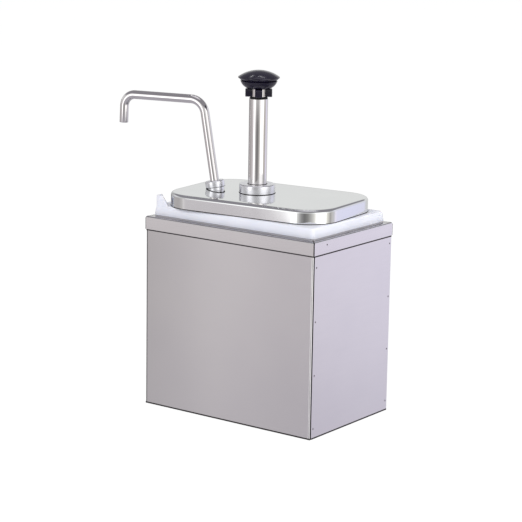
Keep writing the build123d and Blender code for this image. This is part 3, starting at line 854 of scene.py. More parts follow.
@dataclass
class Container:
    """The white container: a drafted pan hung from a channel rim, with one pouring lip."""

    floor: float = 12.0
    rest: float = 207.0
    top: float = 219.2
    body_half: Pair = (94.3, 57.1)
    body_corner: float = 18.0
    wall: float = 2.0
    draft: float = 7.0
    foot_bend: float = 2.5
    well_bend: float = 3.0
    mouth_bend: float = 0.8
    rim_half: Pair = (102.7, 65.5)
    rim_corner: float = 4.0
    rim_wall: float = 2.2
    rim_flare: float = 2.0
    rim_edge: float = 1.2
    rebate: float = 1.0
    rebate_height: float = 1.6
    rebate_chamfer: float = 0.2
    lip_height: float = 10.4
    lip_length: float = 17.0
    lip_top: float = 9.4
    lip_edge: float = 0.9
    lip_belly: float = 0.6
    # the painted shade ring in the rebate: height over the rest, and inset from the rebate's wall
    shade: tuple[Pair, ...] = ((0.02, 0.3), (0.02, -0.2), (1.4, -0.2), (1.55, 0.3))

    def rim(self, height: Points, inset: Points) -> Points:
        """Rings of the rim's plan, which spreads in proportion to the drop from its top.

        Args:
            height: each ring's height.
            inset: how far each lies inside the rim's outer wall.

        Returns:
            The rings, as level_rings gives them.
        """
        flare = self.rim_flare * (self.top - height) / (self.top - self.rest)
        return level_rings(self.rim_half, self.rim_corner, flare - inset, height)

    def shell(self) -> bpy.types.Object:
        """The pan and its rim as one closed skin of level rounded rectangles.

        The rings run from the floor's middle up the outside, round the channel of the rim, over
        its edge and down the inside. A rounded edge is a quarter turn of rings, whose distance
        from the edge's two sides is the radius times 1 - cos a and 1 - sin a.

        Returns:
            The pan.
        """
        quarter = quarter_turn(6)
        near, far = 1 - np.cos(quarter), 1 - np.sin(quarter)
        foot = (self.body_half[0] - self.draft, self.body_half[1] - self.draft)
        under, bottom = self.top - self.rim_wall, self.floor + self.wall
        step, inset = self.rest + self.rebate_height, self.rim_wall + self.rebate
        channel = [(under, inset), (self.rest, inset), (self.rest, self.rebate),
                   (step, self.rebate), (step, self.rebate_chamfer),
                   (step + self.rebate_chamfer, 0.0)]
        rings = [
            level_rings((0.0, 0.0), 0.0, 0.0, self.floor),
            level_rings(foot, self.body_corner, -self.foot_bend * far,
                        self.floor + self.foot_bend * near),
            level_rings(self.body_half, self.body_corner, 0.0, under),
            self.rim(*np.array(channel).T),
            self.rim(self.top - self.rim_edge * far, self.rim_edge * near),
            level_rings(self.body_half, self.body_corner, self.mouth_bend * far - self.wall,
                        self.top - self.mouth_bend * near),
            level_rings(foot, self.body_corner, -self.wall - self.well_bend * near,
                        bottom + self.well_bend * far),
            level_rings((0.0, 0.0), 0.0, 0.0, bottom)]
        return surface("container_pan", np.concatenate(rings), close_columns=True,
                       crease=BLUNT_CREASE)

    def pouring_lip(self) -> bpy.types.Object:
        """The raised lip round the front left corner.

        Its plan follows the rim's corner. Its height is full up to lip_top from the corner, and
        then falls in a straight line to nothing at lip_length, with a belly of 4 s (1 - s). Its
        upper edge is rounded on both sides.

        Returns:
            The lip.
        """
        along = np.concatenate([np.linspace(self.lip_length, self.lip_top, 22),
                                np.linspace(self.lip_top, self.rim_corner, 4)[1:]])
        arc = quarter_turn(12)[1:-1]
        plans = []
        for inset in (0.0, self.rim_wall):
            radius, flat = self.rim_corner - inset, np.full_like(along, inset)
            x = np.concatenate([flat, self.rim_corner - radius * np.cos(arc), along[::-1]])
            y = np.concatenate([along, self.rim_corner - radius * np.sin(arc), flat])
            plans.append(np.stack([x, y], axis=-1) - self.rim_half)
        outer, inner = plans
        share = np.clip((along - self.lip_top) / (self.lip_length - self.lip_top), 0, 1)
        fall = self.lip_height * (1 - share) + 4 * self.lip_belly * share * (1 - share)
        rise = np.concatenate([fall, np.full_like(arc, self.lip_height), fall[::-1]])
        rise += self.rim_edge
        bend, edge = quarter_turn(5)[:, None], np.minimum(self.lip_edge, rise / 2)
        inset = np.concatenate([0 * rise[None], (1 - np.cos(bend)) * edge / self.rim_wall])
        height = np.concatenate([0 * rise[None], rise - edge * (1 - np.sin(bend))])
        height += self.top - self.rim_edge
        walls = [np.concatenate([outer + (inner - outer) * part[..., None], height[..., None]],
                                axis=-1) for part in (inset, 1 - inset)]
        return sheet("container_pouring_lip", *walls, crease=BLUNT_CREASE)

    def foot_line(self) -> bpy.types.Object:
        """Painted shade in the joint between the rim's rebate and the ledge: a low grey ring round
        the rebate.

        Returns:
            The ring.
        """
        over, inset = np.array(self.shade).T
        return surface("container_painted_foot_shade", self.rim(self.rest + over, self.rebate + inset),
                       close_rows=True, close_columns=True)

    def build(self, finishes: Finishes) -> None:
        """Builds the container's pieces and dresses them.

        Args:
            finishes: the materials.
        """
        white = (Body.CONTAINER, "white_plastic")
        finishes.dress(self.shell(), *white, "container")
        finishes.dress(self.pouring_lip(), *white)
        # a grey ring of painted shade in the rim's rebate
        finishes.dress(self.foot_line(), *white, look="rebate_shade")


# ---------------------------------------------------------------- lid and pump head


@dataclass
class LidAssembly:
    """The pressed lid and the pump's collar."""

    turn: float = 5.1
    half: Pair = (98.9, 64.1)
    corner: float = 35.0
    corner_steps: int = 24
    foot: float = 219.2
    height: float = 15.0
    sheet: float = 1.0
    edge: float = 3.4
    hem: float = 0.25
    pump_x: float = -15.0
    collar_radius: float = 19.25
    collar_height: float = 9.6
    collar_bore: float = 10.3
    collar_chamfer: float = 0.7
    collar_foot: float = 0.35
    collar_mouth: float = 0.4
    collar_breaks: tuple[float, ...] = (0.1, 0.1, 0.25, 0.25, 0.15, 0.15)
    collar_steps: int = 128
    # rings on the flat of the lid: their insets, and then their shares of the innermost one
    flat_insets: Triple = (10.0, 20.0, 30.0)
    flat_shares: tuple[float, ...] = (0.75, 0.5, 0.25, 0.0)
    # sections of the thin rings: the painted shade under the lid's foot edge and round the collar's
    # foot, and the wiper at its mouth
    foot_shade: tuple[Pair, ...] = ((0.3, 0.02), (-0.35, 0.02), (-0.3, 0.5), (-0.02, 0.75))
    collar_shade: tuple[Pair, ...] = ((-0.4, 0.01), (0.35, 0.01), (0.3, 0.41), (0.02, 0.61))
    wiper: tuple[Pair, ...] = ((0.3, -0.5), (0.3, 0.1), (-0.1, 0.35), (-0.2, -0.5))

    @property
    def top(self) -> float:
        """Height of the lid's upper face."""
        return self.foot + self.height

    @property
    def collar_top(self) -> float:
        """Height of the collar's upper face."""
        return self.top + self.collar_height

    @property
    def axes(self) -> Axes:
        """The lid's frame: turned about the casing's middle."""
        return Axes(x=unit(self.turn))

    @property
    def pump_axes(self) -> Axes:
        """The plunger's frame, on the lid's long middle line."""
        return Axes(tuple(self.pump_x * v for v in unit(self.turn)), unit(self.turn))

    def rings(self, inset: Points, height: Points) -> Points:
        """Rings of the lid's plan.

        Args:
            inset: how far each lies inside the lid's outline.
            height: each ring's height.

        Returns:
            The rings, as level_rings gives them.
        """
        return level_rings(self.half, self.corner, -inset, height, self.corner_steps)

    def skin(self, deep: float) -> Points:
        """One side of the lid's sheet: up the skirt, round the edge and in to the middle.

        The edge is a quarter turn about the same centre on both sides of the sheet.

        Args:
            deep: how far this side lies within the outer one.

        Returns:
            The rings, as level_rings gives them.
        """
        bend, radius = quarter_turn(10), self.edge - deep
        inset = [deep, *(deep + radius * (1 - np.cos(bend))), *self.flat_insets]
        height = np.full(len(inset), self.top - deep)
        height[0] = self.foot + self.hem
        height[1:len(bend) + 1] -= radius * (1 - np.sin(bend))
        rings = self.rings(np.array(inset), height)
        share = np.array(self.flat_shares)[:, None, None]
        return np.concatenate([rings, rings[-1:] * (share * (1 - UP) + UP)])

    def pressing(self) -> bpy.types.Object:
        """The lid: its two sides, joined by a small hem round the foot.

        Returns:
            The lid.
        """
        hem = self.rings(np.array([self.sheet - self.hem, self.hem]), self.foot)
        grid = np.concatenate([self.skin(0.0), self.skin(self.sheet)[::-1], hem])
        return surface("lid_pressing", self.axes.place(grid), close_rows=True, close_columns=True)

    def collar(self) -> bpy.types.Object:
        """The collar: a turned ring with broken edges.

        Returns:
            The collar.
        """
        low, high, bore, wall = self.top, self.collar_top, self.collar_bore, self.collar_radius
        foot, chamfer, mouth = self.collar_foot, self.collar_chamfer, self.collar_mouth
        corners = [(bore, low), (wall - foot, low), (wall, low + foot), (wall, high - chamfer),
                   (wall - chamfer, high), (bore + mouth, high), (bore, high - mouth), (bore, low)]
        outline = rounded_line(corners, self.collar_breaks, BREAK_STEPS)
        return revolve("collar_ring", outline, self.pump_axes, around=self.collar_steps)

    def foot_line(self) -> bpy.types.Object:
        """Painted shade in the joint under the lid's foot: a low dark ring about its outline.

        Returns:
            The ring.
        """
        inset, over = np.array(self.foot_shade).T
        ring = self.axes.place(self.rings(inset, self.foot + over))
        return surface("lid_painted_foot_shade", ring, close_rows=True, close_columns=True)

    def collar_line(self) -> bpy.types.Object:
        """Painted shade in the joint under the collar: a low dark ring about its foot."""
        section = np.array(self.collar_shade) + (self.collar_radius, self.top)
        return revolve("collar_painted_foot_shade", section, self.pump_axes)

    def bore_line(self) -> bpy.types.Object:
        """The dark wiper lip in the collar's bore, where the plunger comes out."""
        section = np.array(self.wiper) + (self.collar_bore, self.collar_top)
        return revolve("collar_wiper_lip", section, self.pump_axes)

    def build(self, finishes: Finishes) -> None:
        """Builds the lid's pieces and dresses them.

        Args:
            finishes: the materials.
        """
        # dark rings of painted shade under the lid's foot and round the collar's foot
        finishes.dress(self.foot_line(), Body.LID, "seal_rubber", look="joint_shade")
        finishes.dress(self.collar_line(), Body.LID, "seal_rubber", look="joint_shade")
        finishes.dress(self.bore_line(), Body.LID, "seal_rubber")
        finishes.dress(self.pressing(), Body.LID, "lid_steel", "lid")
        finishes.dress(self.collar(), Body.LID, "turned_steel", "collar")


# ---------------------------------------------------------------- plunger and knob


@dataclass
class Plunger:
    """The sliding tube and its knob."""

    axes: Axes
    radius: float = 10.0
    wall: float = 0.8
    foot: float = 159.5
    top: float = 335.2
    chamfer: float = 0.6
    tube_breaks: tuple[float, ...] = (0.1, 0.25, 0.25, 0.1)
    washer: float = 1.6
    washer_bore: float = 5.0
    seat_radius: float = 9.75
    seat_top: float = 8.35
    seat_step: float = 0.35
    gap: float = 0.02
    seam: float = 0.05
    hub_radius: float = 8.0
    hub_height: float = 8.4
    core_wall: float = 0.4
    core_proud: float = 0.03
    core_chamfer: float = 0.1
    core_gap: float = 0.2
    lugs: int = 4
    lug_turn: float = 31.0
    lug_reach: float = 14.2
    lug_width: float = 8.0
    lug_corner: float = 0.8
    bowl_foot: float = 11.0
    bowl_radius: float = 19.7
    bowl_height: float = 8.6
    bowl_bulge: float = 1.6
    hub_bends: Pair = (0.4, 0.3)
    cap_radius: float = 22.0
    cap_under: float = 3.0
    cap_rim: float = 0.8
    cap_dome: float = 7.2
    cap_bends: Pair = (0.3, 0.3)
    cap_steps: int = 128
    knob_steps: int = 4
    groove: float = 1.1

    @property
    def hub_start(self) -> float:
        """Height of the hub's underside."""
        return self.top + self.washer + self.seam

    @property
    def bowl_start(self) -> float:
        """Height of the bowl's foot."""
        return self.hub_start + self.hub_height

    @property
    def bowl_top(self) -> float:
        """Height of the bowl's rim."""
        return self.bowl_start + self.bowl_height

    def tube(self) -> bpy.types.Object:
        """The plunger tube, its upper edge broken.

        Returns:
            The tube.
        """
        bore, edge = self.radius - self.wall, self.radius - self.chamfer
        corners = [(bore, self.foot), (self.radius, self.foot),
                   (self.radius, self.top - self.chamfer), (edge, self.top), (bore, self.top),
                   (bore, self.foot)]
        outline = rounded_line(corners, self.tube_breaks, BREAK_STEPS)
        return revolve("plunger_tube_skin", outline, self.axes)

    def seat(self) -> bpy.types.Object:
        """The knob's rubber seat: a ring that narrows from the tube's edge up to the hub.

        Returns:
            The ring.
        """
        low, high = self.top + self.gap, self.top + self.washer - self.gap
        outline = [(self.washer_bore, low), (self.seat_radius, low),
                   (self.seat_radius, low + self.seat_step), (self.seat_top, high),
                   (self.washer_bore, high)]
        return revolve("knob_seat_ring", np.array(outline), self.axes)

    def core(self) -> bpy.types.Object:
        """The bright metal core that shows between the lugs: a sleeve about the hub.

        Returns:
            The sleeve.
        """
        low, high = self.hub_start + self.core_gap, self.bowl_start - self.core_gap
        inside, outside = self.hub_radius - self.core_wall, self.hub_radius + self.core_proud
        edge = self.core_chamfer
        outline = [(inside, low), (outside - edge, low), (outside, low + edge), (outside, high),
                   (inside, high)]
        return revolve("knob_core_sleeve", np.array(outline), self.axes)

    def bowl(self) -> bpy.types.Object:
        """The knob's lower shell: its hub, its foot, and a side that bulges from its chord.

        A point of the side is the chord's point at a share s plus 4 * bulge * s (1 - s) square
        to it.

        Returns:
            The shell.
        """
        share = np.linspace(0, 1, 16)[:, None]
        chord = np.array([self.bowl_radius - self.bowl_foot, self.bowl_height])
        out = normed(np.array([chord[1], -chord[0]]))
        side = (self.bowl_foot, self.bowl_start) + share * chord
        side += 4 * self.bowl_bulge * share * (1 - share) * out
        side[-1, 1] -= self.groove / 2
        hub = rounded_line([(0.0, self.hub_start), (self.hub_radius, self.hub_start),
                            (self.hub_radius, self.bowl_start), (self.bowl_foot, self.bowl_start)],
                           self.hub_bends, self.knob_steps)
        roof = [(self.bowl_radius - self.groove, self.bowl_top), (0.0, self.bowl_top)]
        return revolve("knob_bowl_shell", np.concatenate([hub, side, roof]), self.axes,
                       closed=False)

    def lug(self, number: int) -> bpy.types.Object:
        """One grip lug: a rounded upright rectangle carried out from the hub.

        Its outer end is rounded by a quarter turn, over which the section shrinks by
        corner * (1 - cos a), and both ends close on the section's middle.

        Args:
            number: which lug, from 0.

        Returns:
            The lug.
        """
        half = np.array([self.lug_width / 2, self.hub_height / 2 - self.gap])
        section = level_rings(half, self.lug_corner, 0.0, 0.0, 5)[0, :, :2]
        bend = quarter_turn(7)
        edge = self.lug_reach - self.lug_corner * (1 - np.sin(bend))
        inset = self.lug_corner * (1 - np.cos(bend))
        root = self.hub_radius / 2
        out = np.array([root, root, *edge, edge[-1]])
        shrink = np.stack([1 - np.array([0.0, *inset]) / size for size in half], axis=-1)
        shrink = np.concatenate([np.zeros((1, 2)), shrink, np.zeros((1, 2))])
        across, up = np.moveaxis(section * shrink[:, None], -1, 0)
        up = up + self.hub_start + self.hub_height / 2
        lug = np.stack(np.broadcast_arrays(out[:, None], across, up), axis=-1)
        turned = Axes(x=unit(self.lug_turn + number * 360 / self.lugs)).place(lug)
        return surface(f"knob_lug_{number + 1}", self.axes.place(turned), close_columns=True)

    def cap(self) -> bpy.types.Object:
        """The knob's upper shell: a shallow ball's cap over an undercut rim.

        The ball's radius is (r * r + d * d) / 2 d, for a cap of radius r and height d.

        Returns:
            The shell.
        """
        start = self.bowl_top + self.seam
        edge = start + self.cap_under
        high = edge + self.cap_rim + self.cap_dome
        ball = (self.cap_radius**2 + self.cap_dome**2) / (2 * self.cap_dome)
        lean = np.linspace(0, np.arcsin(self.cap_radius / ball), 30)
        dome = np.stack([ball * np.sin(lean), high - ball * (1 - np.cos(lean))], axis=-1)
        rim = rounded_line([tuple(dome[-1]), (self.cap_radius, edge),
                            (self.bowl_radius - self.groove, start), (0.0, start)],
                           self.cap_bends, self.knob_steps)
        return revolve("knob_cap_shell", np.concatenate([dome, rim[1:]]), self.axes,
                       around=self.cap_steps, closed=False, crease=BLUNT_CREASE)

    def build(self, finishes: Finishes) -> None:
        """Builds the plunger's pieces and dresses them.

        Args:
            finishes: the materials.
        """
        finishes.dress(self.tube(), Body.PLUNGER, "tube_steel", "plunger_tube")
        finishes.dress(self.seat(), Body.PLUNGER, "seal_rubber")
        finishes.dress(self.core(), Body.PLUNGER, "tube_steel")
        finishes.dress(self.bowl(), Body.PLUNGER, "black_plastic", "knob_bowl")
        for number in range(self.lugs):
            finishes.dress(self.lug(number), Body.PLUNGER, "black_plastic")
        finishes.dress(self.cap(), Body.PLUNGER, "black_plastic", "knob_cap")


# ---------------------------------------------------------------- spout


@dataclass
class Spout:
    """The swivel spout and its nut, in one upright plane through the plunger."""

    pump: Pair
    lid_top: float
    lid_turn: float
    swing: float = 7.0
    out: float = 48.8
    lean: float = 9.7
    radius: float = 4.75
    wall: float = 0.8
    height: float = 329.0
    run: float = 94.6
    drop: float = 31.1
    tip_lean: float = 2.3
    riser_bend: float = 17.0
    tip_bend: float = 13.0
    bend_steps: int = 28
    tube_steps: int = 64
    foot: float = -6.0
    bore_depths: Pair = (12.0, 25.0)
    nut_radius: float = 10.5
    nut_height: float = 7.1
    nut_chamfer: float = 0.8
    nut_foot: float = 0.3
    nut_bore: float = 4.9
    nut_lift: float = 0.05
    nut_breaks: tuple[float, ...] = (0.1, 0.1, 0.3, 0.3, 0.1)
    # size of the dark ring of painted shade under the nut
    shade_height: float = 0.25
    shade_insets: Triple = (1.0, 0.15, 0.1)  # its bore, and its wall below and above

    @property
    def heading(self) -> float:
        """Where the spout points, in degrees from +X: left along the lid, swung to the front."""
        return 180 + self.lid_turn + self.swing

    @property
    def axes(self) -> Axes:
        """Frame on the leaning axis, its origin on the lid's top, its z up the axis.

        Returns:
            The frame.
        """
        way, lean = np.array(unit(self.heading)), radians(self.lean)
        origin = np.array([*self.pump, self.lid_top]) + way * self.out
        x_way, z_way = UP * sin(lean) - way * cos(lean), UP * cos(lean) + way * sin(lean)
        return Axes(tuple(origin), tuple(x_way), tuple(z_way))

    @property
    def nut_low(self) -> float:
        """Height of the nut's underside up the axis: it clears the lid at its low side."""
        return self.nut_radius * tan(radians(self.lean)) + self.nut_lift

    def path(self) -> tuple[Points, Points]:
        """The tube's middle line, straight runs joined by arcs, from its foot to its tip.

        Returns:
            Its points and its unit directions, each an array (points, 3).
        """
        lean, tip_lean = radians(self.lean), radians(self.tip_lean)
        riser = self.out + (self.height - self.lid_top) * tan(lean)
        end = riser + self.run
        corners = [(self.out + self.foot * sin(lean), self.lid_top + self.foot * cos(lean)),
                   (riser, self.height), (end, self.height),
                   (end + self.drop * sin(tip_lean), self.height - self.drop * cos(tip_lean))]
        flat = rounded_line(corners, (self.riser_bend, self.tip_bend), self.bend_steps)
        away, high = flat.T[:, :, None]
        centre = np.array([*self.pump, 0]) + away * np.array(unit(self.heading)) + high * UP
        return centre, normed(np.gradient(centre, axis=0))

    def bent_tube(self) -> bpy.types.Object:
        """The tube: its outside, its rounded tip and its bore for the last stretch.

        The tip goes over from the outside to the bore by half a turn of wall / 2. Both of its
        ends, in the nut and deep in the bore, close on the middle line.

        Returns:
            The tube.
        """
        centre, ahead = self.path()
        bend, lip = np.linspace(0, np.pi, 7), self.wall / 2
        tip, way = centre[-1], ahead[-1]
        over = tip + way * (lip * np.sin(bend) - lip)[:, None]
        inside = tip - way * np.array(self.bore_depths)[:, None]
        line = np.concatenate([centre[:1], centre[:-1], over, inside, inside[-1:]])
        tangent = np.concatenate([ahead[:1], ahead[:-1]])
        tangent = np.concatenate([tangent, np.tile(way, (len(line) - len(tangent), 1))])
        outside, bore = np.full(len(centre) - 1, self.radius), self.radius - self.wall
        radius = [0.0, *outside, *(self.radius - lip * (1 - np.cos(bend))), bore, bore, 0.0]
        return tube("spout_bent_tube", line, tangent, np.array(unit(self.heading + 90)),
                    np.array(radius), around=self.tube_steps)

    def nut(self) -> bpy.types.Object:
        """The nut that holds the spout, turned, with a broken upper edge.

        Returns:
            The nut.
        """
        low, high = self.nut_low, self.nut_low + self.nut_height
        bore, wall = self.nut_bore, self.nut_radius
        corners = [(bore, low), (wall - self.nut_foot, low), (wall, low + self.nut_foot),
                   (wall, high - self.nut_chamfer), (wall - self.nut_chamfer, high), (bore, high),
                   (bore, low)]
        outline = rounded_line(corners, self.nut_breaks, BREAK_STEPS)
        return revolve("spout_nut_ring", outline, self.axes)

    def nut_line(self) -> bpy.types.Object:
        """Painted shade in the joint under the nut: a low dark ring about the wedge, square to the
        leaning axis.

        Returns:
            The ring.
        """
        bore, below, above = self.nut_radius - np.array(self.shade_insets)
        high, low = self.nut_low, self.nut_low - self.shade_height
        outline = np.array([(bore, high), (bore, low), (below, low), (above, high)])
        return revolve("spout_painted_nut_shade", outline, self.axes)

    def build(self, finishes: Finishes) -> None:
        """Builds the spout's pieces and dresses them.

        Args:
            finishes: the materials.
        """
        # a dark ring of painted shade under the nut
        finishes.dress(self.nut_line(), Body.LID, "seal_rubber", look="joint_shade")
        finishes.dress(self.bent_tube(), Body.SPOUT, "tube_steel", "spout_tube")
        finishes.dress(self.nut(), Body.LID, "turned_steel", "spout_nut")


# ---------------------------------------------------------------- spring


@dataclass
class ReturnSpring:
    """The compression spring under the piston, which shortens as the plunger goes down."""

    axes: Axes
    foot: float = 46.82
    length: float = 94.4
    radius: float = 10.0
    wire: float = 0.8
    turns: int = 11
    turn_steps: int = 24
    wire_steps: int = 10
    stroke: float = 60.0

    def coil(self) -> bpy.types.Object:
        """A round wire along a helix: R cos t, R sin t, and a height that grows evenly with t.

        Returns:
            The coil, its two ends closed.
        """
        turn = np.linspace(0, 2 * np.pi * self.turns, self.turn_steps * self.turns + 1)
        turn = np.concatenate([turn[:1], turn, turn[-1:]])
        slope = (self.length - 2 * self.wire) / turn[-1]
        out = np.stack([np.cos(turn), np.sin(turn), 0 * turn], axis=-1)
        along = normed(np.cross(UP, out) * self.radius + UP * slope)
        start = np.array(self.axes.origin) + UP * (self.foot + self.wire)
        centre = start + self.radius * out + UP * slope * turn[:, None]
        radius = np.full(turn.size, self.wire)
        radius[[0, -1]] = 0
        return tube("return_spring_wire", centre, along, out, radius,
                    around=self.wire_steps)

    def build(self, finishes: Finishes) -> None:
        """Builds the spring, dresses it and gives it a mesh of its own.

        Args:
            finishes: the materials.
        """
        piece = self.coil()
        finishes.dress(piece, Body.SPRING_SEAT, "spring_steel", "return_spring")
        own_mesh(piece)


# ---------------------------------------------------------------- studio


@dataclass(frozen=True)
class Band:
    """What polished metal sees of the studio from some height up.

    It takes over from the band below it between two heights, start and full, in degrees over the
    horizon. Its stops are the azimuth from the front towards the right in degrees, the sRGB tint,
    and the brightness, where 1 is white.
    """

    start: float
    full: float
    stops: tuple[tuple[float, str, float], ...]


GROUND = Band(-90, -80, ((-180, "#F8F5FF", 0.55), (180, "#F8F5FF", 0.55)))
# Two tall boxes, front left and right, with grey between them and a cool wall on the far right.
BOXES = Band(-27, -9, (
    (-180, "#FFFFFF", 0.76), (-161, "#FFFFFF", 0.80), (-114, "#FFFDFF", 0.26),
    (-97, "#FFFBFC", 0.45), (-82, "#FFF9F9", 0.57), (-61, "#FFF9F9", 0.54),
    (-45, "#FFFAFA", 0.66), (-38, "#FFFAFB", 0.88), (-29, "#FFF9FD", 0.72),
    (-24, "#FFF9FD", 0.78), (-22, "#FFFFFF", 2.1), (-6, "#FFFFFF", 2.1), (0, "#FFFEFC", 0.95),
    (7.5, "#FFFDFD", 0.58), (15, "#FFFDFD", 0.36), (25, "#FFFDFD", 0.22), (36, "#FFFDFA", 0.32),
    (43, "#FFFDFA", 0.48), (50, "#FFFDFA", 0.66), (57, "#FFFDF8", 0.90), (62, "#FFFDF8", 1.15),
    (67, "#FFFFFF", 2.1), (98, "#FFFFFF", 2.1), (104, "#FFFCF4", 1.10), (112, "#FFFCF4", 0.78),
    (119, "#FFFAF8", 0.48), (127, "#FFFBFA", 0.72), (137, "#FAF8FF", 0.78),
    (146, "#F5F0FF", 1.20), (156, "#E8E8FF", 1.17), (166, "#F6F6FF", 0.90),
    (180, "#FFFFFF", 0.76)))
HORIZON = Band(-5, 2, (
    (-180, "#FFFFFF", 0.80), (-120, "#FFFFFF", 0.60), (-60, "#FFFFFF", 0.70),
    (-31, "#FFFFFF", 0.75), (-27, "#FFFFFF", 1.90), (-3, "#FFFFFF", 1.90),
    (10, "#FFFFFF", 0.75), (40, "#FFFFFF", 0.70), (62, "#FFFFFF", 1.50),
    (105, "#FFFFFF", 1.50), (125, "#FFFFFF", 0.75), (152, "#EEEEFF", 1.05),
    (180, "#FFFFFF", 0.80)))
# The middle height, which the lid's top throws up on what stands on it.
WALLS = Band(5, 9, (
    (-180, "#FEFFFE", 0.86), (-135, "#FEFFFE", 0.86), (-116, "#FFFFFF", 0.45),
    (-97, "#FDFDFF", 0.75), (-82, "#FDFDFF", 1.05), (-71, "#FDFDFF", 0.95),
    (-61, "#FDFDFF", 0.80), (-50, "#FFFFFF", 0.72), (-36, "#FFFFFF", 0.76),
    (-31, "#FFFFFF", 0.85), (-27, "#FFFFFF", 1.40), (-14, "#FFFFFF", 1.60),
    (0, "#FFFFFF", 1.35), (8, "#FFFFFF", 1.08), (16, "#FFFFFF", 0.84), (25, "#FFFFFF", 0.70),
    (36, "#FFFFFF", 0.72), (46, "#FFFFFF", 0.72), (57, "#FFFFFF", 1.05), (66, "#FFFFFF", 1.70),
    (90, "#FFFFFF", 1.65), (102, "#FFFFFF", 1.15), (110, "#FFFFFF", 0.85),
    (118, "#FBFBFF", 0.58), (127, "#FBFBFF", 0.78), (143, "#F4F4FF", 1.20),
    (156, "#F4F4FF", 1.00), (180, "#FEFFFE", 0.86)))
CEILING = Band(20, 28, ((-180, "#F8F5FF", 0.34), (180, "#F8F5FF", 0.34)))
# A large diffuser overhead.
DIFFUSER = Band(66, 76, ((-180, "#FBF9FF", 0.95), (180, "#FBF9FF", 0.95)))


def facing(back: Points, place: Triple, roll: float = 0.0) -> Matrix:
    """Stands a lamp or a camera somewhere and turns it, its x axis level before it rolls.

    Args:
        back: the direction from what it looks at to it.
        place: where it stands, in millimetres.
        roll: how far it rolls about that direction, in radians.

    Returns:
        The object's matrix.
    """
    back = normed(back)
    right = normed(np.cross(UP, back))
    up = np.cross(back, right)
    turned = [cos(roll) * right + sin(roll) * up, cos(roll) * up - sin(roll) * right, back]
    matrix = Matrix(np.stack(turned, axis=1).tolist()).to_4x4()
    matrix.translation = [v * MM for v in place]
    return matrix


@dataclass(frozen=True)
class Lamp:
    """A rectangular soft lamp aimed at the middle of the object.

    Its place, its width and height, and what it is aimed at are in millimetres, and its power is
    in watts.
    """

    name: str
    place: Triple
    size: Pair
    power: float
    mirrored: bool = False
    aim: Triple = (0.0, 0.0, 180.0)

    def hang(self) -> None:
        """Puts the lamp in its place; only a mirrored one shows in polished surfaces."""
        data = bpy.data.lights.new(self.name, "AREA")
        data.shape = "RECTANGLE"
        data.size, data.size_y = self.size[0] * MM, self.size[1] * MM
        data.energy = self.power
        lamp = bpy.data.objects.new(self.name, data)
        lamp.visible_glossy = self.mirrored
        lamp.matrix_world = facing(np.subtract(self.place, self.aim), self.place)
        bpy.context.scene.collection.objects.link(lamp)


LAMPS = (Lamp("key", (300, -1700, 1500), (900, 900), 20),
         Lamp("fill", (1500, 300, 900), (900, 900), 12),
         Lamp("high left", (-721, 383, 1608), (220, 80), 0.34, mirrored=True),
         Lamp("high right", (-264, 563, 1730), (400, 75), 0.40, mirrored=True))


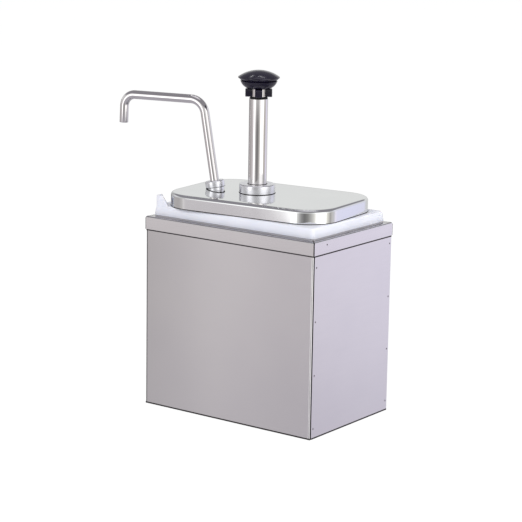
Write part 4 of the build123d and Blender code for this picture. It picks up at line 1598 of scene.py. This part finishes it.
@dataclass
class Studio:
    """Floor, lamps, surroundings and camera.

    Polished metal shows what stands round it, so the surroundings are bands laid over each other
    from the ground up: each changes with the azimuth and takes over from the one below.
    """

    bands: tuple[Band, ...] = (GROUND, BOXES, HORIZON, WALLS, CEILING, DIFFUSER)
    brightest: float = 2.5
    even_light: float = 0.62
    backdrop: float = 1.02
    floor_half: float = 6000.0
    floor_height: float = -0.3
    floor_white: float = 1.075
    floor_share: float = 0.86  # how much of the floor's look is plain white
    lens: float = 135.2
    camera_place: Triple = (1204.6, -1659.0, 600.8)
    camera_azimuth: float = 36.195
    camera_elevation: float = 12.105
    camera_roll: float = 0.947
    camera_reach: float = 20.0  # metres
    sensor: float = 36.0

    def floor(self) -> None:
        """A pale floor: white to the camera under a soft shadow, and clear to polished metal."""
        side = [-self.floor_half, self.floor_half]
        x, y = np.meshgrid(side, side, indexing="ij")
        grid = np.stack([x, y, np.full_like(x, self.floor_height)], axis=-1)
        piece = surface("studio_floor", grid)
        material = bpy.data.materials.new("matt white floor")
        tree = empty_tree(material)
        rays = add_node(tree, "ShaderNodeLightPath").outputs
        matt = add_node(tree, "ShaderNodeBsdfDiffuse", {"Color": linear("#F2F2F4")})
        white = add_node(tree, "ShaderNodeEmission", {"Color": linear("#FFFFFF"),
                                                      "Strength": self.floor_white})
        clear = add_node(tree, "ShaderNodeBsdfTransparent")
        shown = add_node(tree, "ShaderNodeMixShader", {"Fac": self.floor_share, 1: matt, 2: white})
        seen = matt
        for ray, shader in (("Is Camera Ray", shown), ("Is Glossy Ray", clear)):
            seen = add_node(tree, "ShaderNodeMixShader", {"Fac": rays[ray], 1: seen, 2: shader})
        add_node(tree, "ShaderNodeOutputMaterial", {"Surface": seen})
        piece.data.materials.append(material)

    def surroundings(self) -> None:
        """The world: plain white to the camera, the bands to metal, even light to the rest."""
        world = bpy.data.worlds.new("studio")
        bpy.context.scene.world = world
        tree = empty_tree(world)
        way = add_node(tree, "ShaderNodeTexCoord").outputs["Generated"]
        east, north, up = add_node(tree, "ShaderNodeSeparateXYZ", {0: way}).outputs
        toward = add_node(tree, "ShaderNodeMath", {0: north, 1: -1.0}, operation="MULTIPLY")
        azimuth = add_node(tree, "ShaderNodeMath", {0: east, 1: toward}, operation="ARCTAN2")
        turn = add_node(tree, "ShaderNodeMapRange", {"Value": azimuth, "From Min": -np.pi,
                                                     "From Max": np.pi})
        seen = linear("#000000")
        for band in self.bands:
            stops = [((angle + 180) / 360,
                      (*(v * level / self.brightest for v in linear(tint)[:3]), 1.0))
                     for angle, tint, level in band.stops]
            colour = add_node(tree, "ShaderNodeValToRGB", {"Fac": turn}, stops=stops)
            rise = add_node(tree, "ShaderNodeMapRange",
                            {"Value": up, "From Min": sin(radians(band.start)),
                             "From Max": sin(radians(band.full))},
                            interpolation_type="SMOOTHSTEP")
            seen = add_node(tree, "ShaderNodeMix", {"Factor": rise, 6: seen, 7: colour},
                            data_type="RGBA").outputs[2]
        rays = add_node(tree, "ShaderNodeLightPath").outputs
        white = linear("#FFFFFF")
        light = add_node(tree, "ShaderNodeBackground", {"Color": white,
                                                        "Strength": self.even_light})
        for ray, colour, strength in (("Is Glossy Ray", seen, self.brightest),
                                      ("Is Camera Ray", white, self.backdrop)):
            shown = add_node(tree, "ShaderNodeBackground", {"Color": colour, "Strength": strength})
            light = add_node(tree, "ShaderNodeMixShader", {"Fac": rays[ray], 1: light, 2: shown})
        add_node(tree, "ShaderNodeOutputWorld", {"Surface": light})

    def camera(self) -> None:
        """A long lens at the object's front right, a little above it."""
        azimuth, elevation = radians(self.camera_azimuth), radians(self.camera_elevation)
        back = np.array([sin(azimuth) * cos(elevation), -cos(azimuth) * cos(elevation),
                         sin(elevation)])
        data = bpy.data.cameras.new("camera")
        data.lens, data.sensor_width, data.clip_end = self.lens, self.sensor, self.camera_reach
        camera = bpy.data.objects.new("camera", data)
        camera.matrix_world = facing(back, self.camera_place, radians(self.camera_roll))
        bpy.context.scene.collection.objects.link(camera)
        bpy.context.scene.camera = camera

    def build(self) -> None:
        """Sets up the whole studio."""
        bpy.context.scene.view_settings.view_transform = "Standard"
        self.floor()
        self.surroundings()
        for lamp in LAMPS:
            lamp.hang()
        self.camera()


def main() -> None:
    """Builds the finishes, the sub-assemblies and the studio, in that order."""
    logging.basicConfig(level=logging.INFO, format="%(message)s")
    finishes = Finishes()
    finishes.dress_nodes()
    Casing().build(finishes)
    Container().build(finishes)
    lid = LidAssembly()
    lid.build(finishes)
    pump = lid.pump_axes
    Plunger(axes=pump).build(finishes)
    ReturnSpring(axes=pump).build(finishes)
    Spout(pump=pump.origin[:2], lid_top=lid.top, lid_turn=lid.turn).build(finishes)
    Studio().build()


if __name__ == "__main__":
    main()
